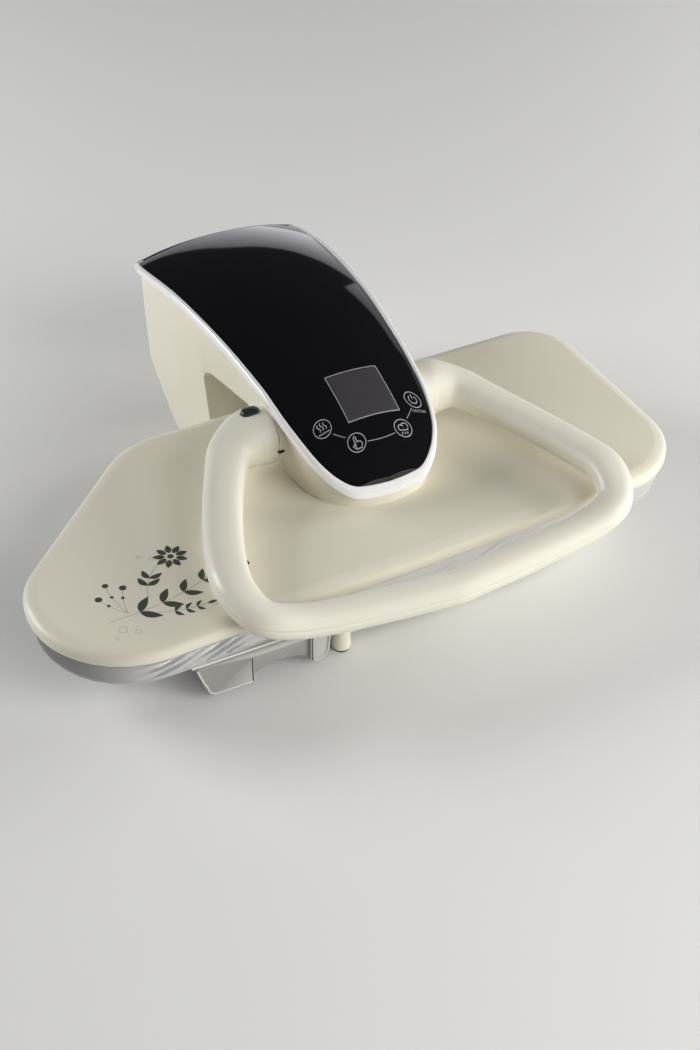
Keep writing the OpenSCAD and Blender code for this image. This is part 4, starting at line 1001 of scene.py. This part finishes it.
hub("left_hub", -1)
hub("right_hub", 1)

# %% [markdown]
# Small dark openings may be where the mouldings are held together: a slot low on the front of each
# hub, another on the inner side of the handle's left limb, and a blind hole on each side of the
# neck. Each is an oval inlay, a little dished and 0.2 mm proud, so that no wall shows through it.
# The slots are black and the neck holes grey, and both colours are painted shade for the dark inside
# of the openings.

# %% Small slots
INLAY_RINGS = ((1.0, -1.6), (1.0, 0.2), (0.88, 0.26), (0.72, 0.2), (0.3, 0.16))
ROUND = [math.pi * k / 10 for k in range(20)]
ALONG_X, ALONG_Y = (1, 0, 0), (0, 1, 0)


def inlay(name, spot, outward, along, long, wide, body, material):
    n = Vector(outward).normalized()
    u = (Vector(along) - n * n.dot(Vector(along))).normalized()
    v = n.cross(u)
    rings = []
    for size, depth in INLAY_RINGS:
        rings.append([tuple(Vector(spot) + u * size * long / 2 * math.cos(a)
                            + v * size * wide / 2 * math.sin(a) + n * depth) for a in ROUND])
    piece = loft(name, rings)
    smooth(piece, 40)
    return dress(piece, body, material, "black_rubber")


# black and grey inlays: painted shade for the insides of the openings
for side, word in ((-1, "left"), (1, "right")):
    inlay(f"hub_slot_{word}", (side * 79.2, AXIS_Y - 29.3, AXIS_Z - 3.6), (0, -1, -0.12), ALONG_X, 7.6, 4.0,
          "arm", black_rubber)
    inlay(f"neck_hole_{word}", (side * 69.0, -17.7, TOP + 9), (side, -0.17, 0), ALONG_Y, 2.6, 2.2,
          "arm", board_grey)
inlay("handle_slot", (-172.6, -131.5, TOP + 22.9), (1, 0.25, 0), ALONG_Y, 8.0, 3.0, "handle", black_rubber)

# %% [markdown]
# The arm's skin, the base and the tank are mouldings of flat panels, and the CAD has their shapes
# already. What it lacks are the soft edges that catch the light. So copies of the solids are merged
# and get those edges with a bevel.

# %% Moulded shells from the CAD
for source, name, body, width, rows, sharp, material, slot in (
        ("arm_housing", "arm_shell", "arm", 1.1, 3, 25, ivory, "ivory_plastic"),
        ("base_pan", "base_shell", "base", 0.8, 2, 30, ivory, "ivory_plastic"),
        ("tank_body", "tank_shell", "tank", 0.9, 3, 30, smoky, "tank_plastic")):
    shell = copy_of(source, name)
    bevel(shell, width, rows, sharp)
    smooth(shell, 30)
    dress(shell, body, material, slot, source)

# %% [markdown]
# Clear plastic looks bright along its thick edges and dark where two walls meet. A pale bead down
# each side of the tank's front and round its lower corner is a painted highlight for those glints,
# and a dark line at each side of its recess is painted shade where the walls meet. A bead is a small
# round section lofted along a path on that front.

# %% Beads on the tank's edges
FACE_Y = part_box("tank_body")[0].y / MM - ARM_SHIFT.y
EDGE_R, LINE_R = 1.1, 0.6

def bead(name, path, radius, material):
    rings = []
    for i, (x, z) in enumerate(path):
        (a, b), (c, d) = path[max(i - 1, 0)], path[min(i + 1, len(path) - 1)]
        run = math.hypot(c - a, d - b)
        nx, nz = (d - b) / run, (a - c) / run
        rings.append([(x + nx * radius * math.cos(t), FACE_Y + radius * math.sin(t),
                       z + nz * radius * math.cos(t)) for t in [math.pi * k / 4 for k in range(8)]])
    piece = loft(name, rings)
    smooth(piece, 60)
    return dress(piece, "tank", material, "tank_plastic")


corner = [(-232 + 9.2 * (1 - math.cos(a)), 18.6 - 9 * math.sin(a))
          for a in [math.radians(degrees) for degrees in range(0, 91, 15)]]
# painted highlight: pale beads for the glints along the tank's clear edges
bead("tank_edge_left", [(-241.6, 44), (-236, 27)] + corner + [(-205, 9.4), (-188.6, 9.4)], EDGE_R, painted_glint_plastic)
bead("tank_edge_right", [(-125.4, 9.4), (-118, 9.4), (-113, 12.5), (-110.6, 18), (-107.6, 44)], EDGE_R,
     painted_glint_plastic)
# painted shade: dark lines where the recess walls meet the tank's front
for word, x in (("left", -187.4), ("right", -126.6)):
    bead(f"tank_shade_line_{word}", [(x, z) for z in (10, 24, 37)], LINE_R, print_and_painted_shade_ink)

# %% [markdown]
# The board carries a firm pad of foam and felt. It is cut to the outline and its upper edge is
# rounded by the cloth that is drawn over it.

# %% Foam pad
PAD_LOW, PAD_HIGH = (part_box("board_pad")[k].z / MM for k in (0, 1))
PAD_EDGE = [(PAD_LOW, 9.2), (PAD_LOW + 1, 8.0), (PAD_LOW + 4, 7.7), (PAD_HIGH - 4.5, 7.8),
            (PAD_HIGH - 2, 8.8), (PAD_HIGH - 0.7, 11), (PAD_HIGH, 15)]
pad = loft("foam_pad", [lifted(inset(BOARD, d), z) for z, d in PAD_EDGE])
smooth(pad, 40)
dress(pad, "base", white_plastic, "foam", "board_pad")

# %% [markdown]
# The silver cloth is drawn over the pad and gathered under the edge by an elastic hem. Its folds run
# down the side and lean towards the tank's corner, where the hem pulls hardest. A simulation would
# take long and change with each run, so the folds are waves: one sharp set that is pulled, and a
# soft ripple of nine waves with random lengths.

# %% Folds of the cloth
CLOTH_LOW, CLOTH_HIGH = (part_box("board_cover")[k].z / MM for k in (0, 1))
FOLD_PITCH, FOLD_LEAN, FOLD_DEEP, RIPPLE_DEEP = 8.2, 0.30, 2.1, 0.9
FRONT_SIDE, TANK_X, TANK_RUN, MIDDLE_X, MIDDLE_RUN, MIDDLE_PULL = -100, -238, 52, 60, 130, 0.35
SIDE_MIDDLE, WHOLE_WAVE = 63, 6.28
random.seed(7)
wrinkles = [(random.uniform(0.010, 0.05), random.uniform(0, WHOLE_WAVE), random.uniform(-0.25, 0.25))
            for _ in range(9)]


def fold(x, y, z):
    pull = 0
    if y < FRONT_SIDE:
        pull = math.exp(-((x - TANK_X) / TANK_RUN) ** 4)
        pull += MIDDLE_PULL * math.exp(-((x - MIDDLE_X) / MIDDLE_RUN) ** 2)
    sway = math.sin(x * 0.047 + 1.3) + 0.6 * math.sin(x * 0.021)
    slant = math.sin((z - FOLD_LEAN * x + 2.2 * sway) * 2 * math.pi / FOLD_PITCH)
    slant = math.copysign(abs(slant) ** 0.6, slant) * (0.7 + 0.3 * math.sin(x * 0.11))
    ripple = sum(math.sin(f * (x + 0.8 * y) * WHOLE_WAVE + p + s * (z - SIDE_MIDDLE))
                 for f, p, s in wrinkles) / 9
    side = max(0.0, min(1.0, (CLOTH_HIGH - z) / 5, (z - CLOTH_LOW) / 3))
    return side * (FOLD_DEEP * pull * slant + RIPPLE_DEEP * ripple)


print("fold depth at the tank's corner:", round(fold(TANK_X, -184, SIDE_MIDDLE), 2), "mm")

# %% [markdown]
# The cloth itself is a loft with many narrow columns, so that each fold has its own faces. Its rings
# start at the hem under the board, go up the side and end on the pad's top, where one face closes
# it. A fold pushes a point in or out, so each ring needs its neighbour, one millimetre further out.

# %% Silver cloth
cloth_line = even(BOARD, 760)


def cloth_ring(z, d):
    ring = []
    for (x, y), (u, v) in zip(inset(cloth_line, d), inset(cloth_line, d - 1)):
        f = fold(x, y, z)
        ring.append((x + (u - x) * f, y + (v - y) * f, z))
    return ring


CLOTH_EDGE = [(CLOTH_LOW + 1.2, 22), (CLOTH_LOW + 0.6, 17), (CLOTH_LOW, 12), (CLOTH_LOW + 1.0, 9.0)]
CLOTH_EDGE += [(CLOTH_LOW + 2.5 + k * 1.15, 7.2 - 0.6 * math.sin(math.pi * k / 16)) for k in range(16)]
CLOTH_EDGE += [(CLOTH_HIGH - 3.6, 7.2), (CLOTH_HIGH - 2.4, 7.8), (CLOTH_HIGH - 1.0, 9.6),
               (CLOTH_HIGH - 0.25, 12.2), (CLOTH_HIGH, 15)]
cloth = loft("silver_cloth", [cloth_ring(z, d) for z, d in CLOTH_EDGE], caps=False)
bpy.ops.object.mode_set(mode="EDIT")
bpy.ops.mesh.select_all(action="DESELECT")
mesh = bmesh.from_edit_mesh(cloth.data)
for vert in mesh.verts:
    vert.select = vert.co.z > (CLOTH_HIGH - 0.05) * MM
mesh.select_flush(True)
bpy.ops.mesh.edge_face_add()
bpy.ops.object.mode_set(mode="OBJECT")
smooth(cloth, 60)
print("cloth faces:", len(cloth.data.polygons))

# %% [markdown]
# The cloth is woven and has a metal film on it. Two crossed waves make the weave, a slow noise
# drifts its tone and its gloss, and a good half of it reflects like metal. Towards the left end the
# colour is dimmed along the board, which is painted shade.

# %% Cloth finish
DARK_SILVER, PALE_SILVER = (0.70, 0.70, 0.69, 1), (0.88, 0.88, 0.87, 1)
THREADS, UNEVEN, THREAD_RELIEF, THREAD_HEIGHT = 260, 0.4, 0.25, 0.0003
# Painted shade: the cloth's colour falls to a tenth towards its left end, along the board.
PAINTED_SHADE_END = {"From Min": -0.335, "From Max": -0.245, "To Min": 0.10, "To Max": 1.0}


def cloth_finish():
    material = bpy.data.materials.new("silver_cloth")
    material.use_nodes = True
    tree = material.node_tree
    shader = tree.nodes["Principled BSDF"]
    place = tree.nodes.new("ShaderNodeTexCoord")
    weave = tree.nodes.new("ShaderNodeMath")
    weave.operation = "MULTIPLY"
    for k, axis in enumerate(("X", "Y")):
        threads = tree.nodes.new("ShaderNodeTexWave")
        threads.bands_direction = axis
        threads.inputs["Scale"].default_value = THREADS
        threads.inputs["Distortion"].default_value = UNEVEN
        wire(tree, place, "Object", threads, "Vector")
        wire(tree, threads, "Fac", weave, k)
    drift = noise(tree, place.outputs["Object"], 14.0, 4.0)
    tones = colour_mix(tree, A=DARK_SILVER, B=PALE_SILVER)
    wire(tree, drift, "Fac", tones, "Factor")
    along = tree.nodes.new("ShaderNodeSeparateXYZ")
    wire(tree, place, "Object", along, 0)
    # painted shade, darker towards the left end of the cloth
    painted_shade = ranged(tree, along, "X", PAINTED_SHADE_END)
    wear_and_painted_light = tree.nodes.new("ShaderNodeVectorMath")
    wear_and_painted_light.operation = "MULTIPLY"
    wire(tree, tones, "Result", wear_and_painted_light, 0)
    wire(tree, painted_shade, "Result", wear_and_painted_light, 1)
    wire(tree, wear_and_painted_light, 0, shader, "Base Color")
    gloss = ranged(tree, drift, "Fac", {"To Min": 0.30, "To Max": 0.5})
    wire(tree, gloss, "Result", shader, "Roughness")
    relief_of(tree, weave, "Value", THREAD_RELIEF, THREAD_HEIGHT)
    shader.inputs["Metallic"].default_value = 0.6
    shader.inputs["Sheen Weight"].default_value = 0.3
    return material


dress(cloth, "base", cloth_finish(), "silver_cloth", "board_cover")

# %% [markdown]
# The real cover is one flat sheet with an elastic hem, cut larger than the board by its side and its
# hem.

# %% [markdown]
# A dark plant print decorates the cover beside the handle. The real one is printed ink. Here each
# mark is a thin plate that lies on the cover, because a plate keeps a sharp edge in any view. Where
# plates cross, equal heights would flicker, so each dark one lies a trifle higher than the last.

# %% Plates for the print
LIFT, PLATE, STEP_UP = 0.12, 0.3, 0.003
dark, pale = [], []


def flat_mark(name, outline):
    dark.append(loft(name, [lifted(outline, TOP - PLATE), lifted(outline, TOP + LIFT + STEP_UP * len(dark))]))


def leaf(x, y, angle, length, width, bend=0.0, steps=9):
    a, side, other = math.radians(angle), [], []
    for k in range(steps + 1):
        t = k / steps
        half = width / 2 * math.sin(math.pi * t ** 0.85) ** 0.9
        mid = bend * math.sin(math.pi * t)
        for bucket, sign in ((side, 1), (other, -1)):
            if bucket is other and k in (0, steps):
                continue
            u, v = length * t, mid + sign * max(half, 0.08)
            bucket.append((x + u * math.cos(a) - v * math.sin(a), y + u * math.sin(a) + v * math.cos(a)))
    return side + list(reversed(other))


def disc(x, y, r, steps=20):
    angles = [2 * math.pi * k / steps for k in range(steps)]
    return [(x + r * math.cos(a), y + r * math.sin(a)) for a in angles]


def stem(name, path, width):
    rings = []
    for i, (x, y) in enumerate(path):
        a, b = path[max(i - 1, 0)], path[min(i + 1, len(path) - 1)]
        run = Vector((b[0] - a[0], b[1] - a[1])).normalized()
        nx, ny = -run.y * width / 2, run.x * width / 2
        rings.append([(x + nx, y + ny, TOP + LIFT), (x - nx, y - ny, TOP + LIFT),
                      (x - nx, y - ny, TOP - PLATE), (x + nx, y + ny, TOP - PLATE)])
    pale.append(loft(name, rings))


def hoop(name, x, y, r, width):
    rings = []
    for a in [math.radians(20 * k) for k in range(18)]:
        c, s = math.cos(a), math.sin(a)
        rings.append([(x + (r + w) * c, y + (r + w) * s, z) for w, z in
                      ((0, TOP + LIFT), (width, TOP + LIFT), (width, TOP - PLATE), (0, TOP - PLATE))])
    pale.append(loft(name, rings, loop=True))


print("points of a leaf:", len(leaf(0, 0, 0, 20, 8)))

# %% [markdown]
# The print has a bough and a spray with leaves in pairs, and a twig. Each is a stem that curls
# evenly, and pairs of leaves that grow smaller towards its tip. The spray ends bare, because the
# blossom stands there.

# %% Bough, spray and twig
LEAF_SPREAD, STEM_WIDE = 44, 0.8


def branch(x, y, heading, length, curl, steps=18):
    path, a = [(x, y)], math.radians(heading)
    for _ in range(steps):
        x, y = x + length / steps * math.cos(a), y + length / steps * math.sin(a)
        a += math.radians(curl) / steps
        path.append((x, y))
    return path


def heading_of(path, k):
    (x, y), (u, v) = path[k], path[k + 1]
    return math.degrees(math.atan2(v - y, u - x))


def leafy(name, path, first, size, slim, every, bare_from=None):
    for k in range(first, bare_from or len(path) - 1, every):
        long = size * (1 - 0.35 * k / len(path))
        for side in (1, -1):
            heading = heading_of(path, k) + side * LEAF_SPREAD
            flat_mark(f"{name}_{k}_{side + 1}", leaf(*path[k], heading, long, long * slim, side * 1.1))
    if bare_from is None:
        flat_mark(name + "_tip", leaf(*path[-1], heading_of(path, -2), size * 0.8, size * slim * 0.8))
    stem(name + "_stem", path, STEM_WIDE)


leafy("bough", branch(-305, -128, -2, 104, 26), 5, 24, 0.38, 4)
leafy("spray", branch(-262, -112, 76, 60, -50), 5, 16, 0.42, 3, bare_from=11)
leafy("twig", branch(-262, -135, -22, 46, 24), 6, 12, 0.38, 4)
print("dark plates:", len(dark), "stems:", len(pale))

# %% [markdown]
# Beside them stand three stems with round berries, a blossom of nine petals and a few small rings.
# At the end the dark plates are joined, and the pale ones too, so the print is two pieces that ride
# on the shoe.

# %% Berries, blossom and rings
BLOSSOM_X, BLOSSOM_Y, EYE_R = -222, -67, 5.2
for k, (heading, length) in enumerate(((132, 34), (108, 45), (88, 36))):
    path = branch(-286, -124, heading, length, -24)
    stem(f"berry_stem_{k}", path, 0.7)
    flat_mark(f"berry_{k}", disc(*path[-1], 3.4 - 0.5 * (k % 2)))
    flat_mark(f"bud_{k}", disc(*path[11], 1.7))
for k in range(9):
    a = math.radians(40 * k)
    tip = (BLOSSOM_X + EYE_R * math.cos(a), BLOSSOM_Y + EYE_R * math.sin(a))
    flat_mark(f"petal_{k}", leaf(*tip, 40 * k, 11.5, 6.2))
flat_mark("blossom_eye", disc(BLOSSOM_X, BLOSSOM_Y, 3.0))
for k, (x, y, r) in enumerate([(-298, -143, 3.6), (-287, -151, 2.3), (-307, -152, 1.6), (-238, -62, 2.6),
                               (-249, -55, 1.6), (-212, -146, 2.4)]):
    hoop(f"hoop_{k}", x, y, r, 0.6)
dress(joined(dark, "sprig_print"), "shoe", print_and_painted_shade_ink, "ivory_plastic")
dress(joined(pale, "sprig_stems"), "shoe", pale_ink, "ivory_plastic")
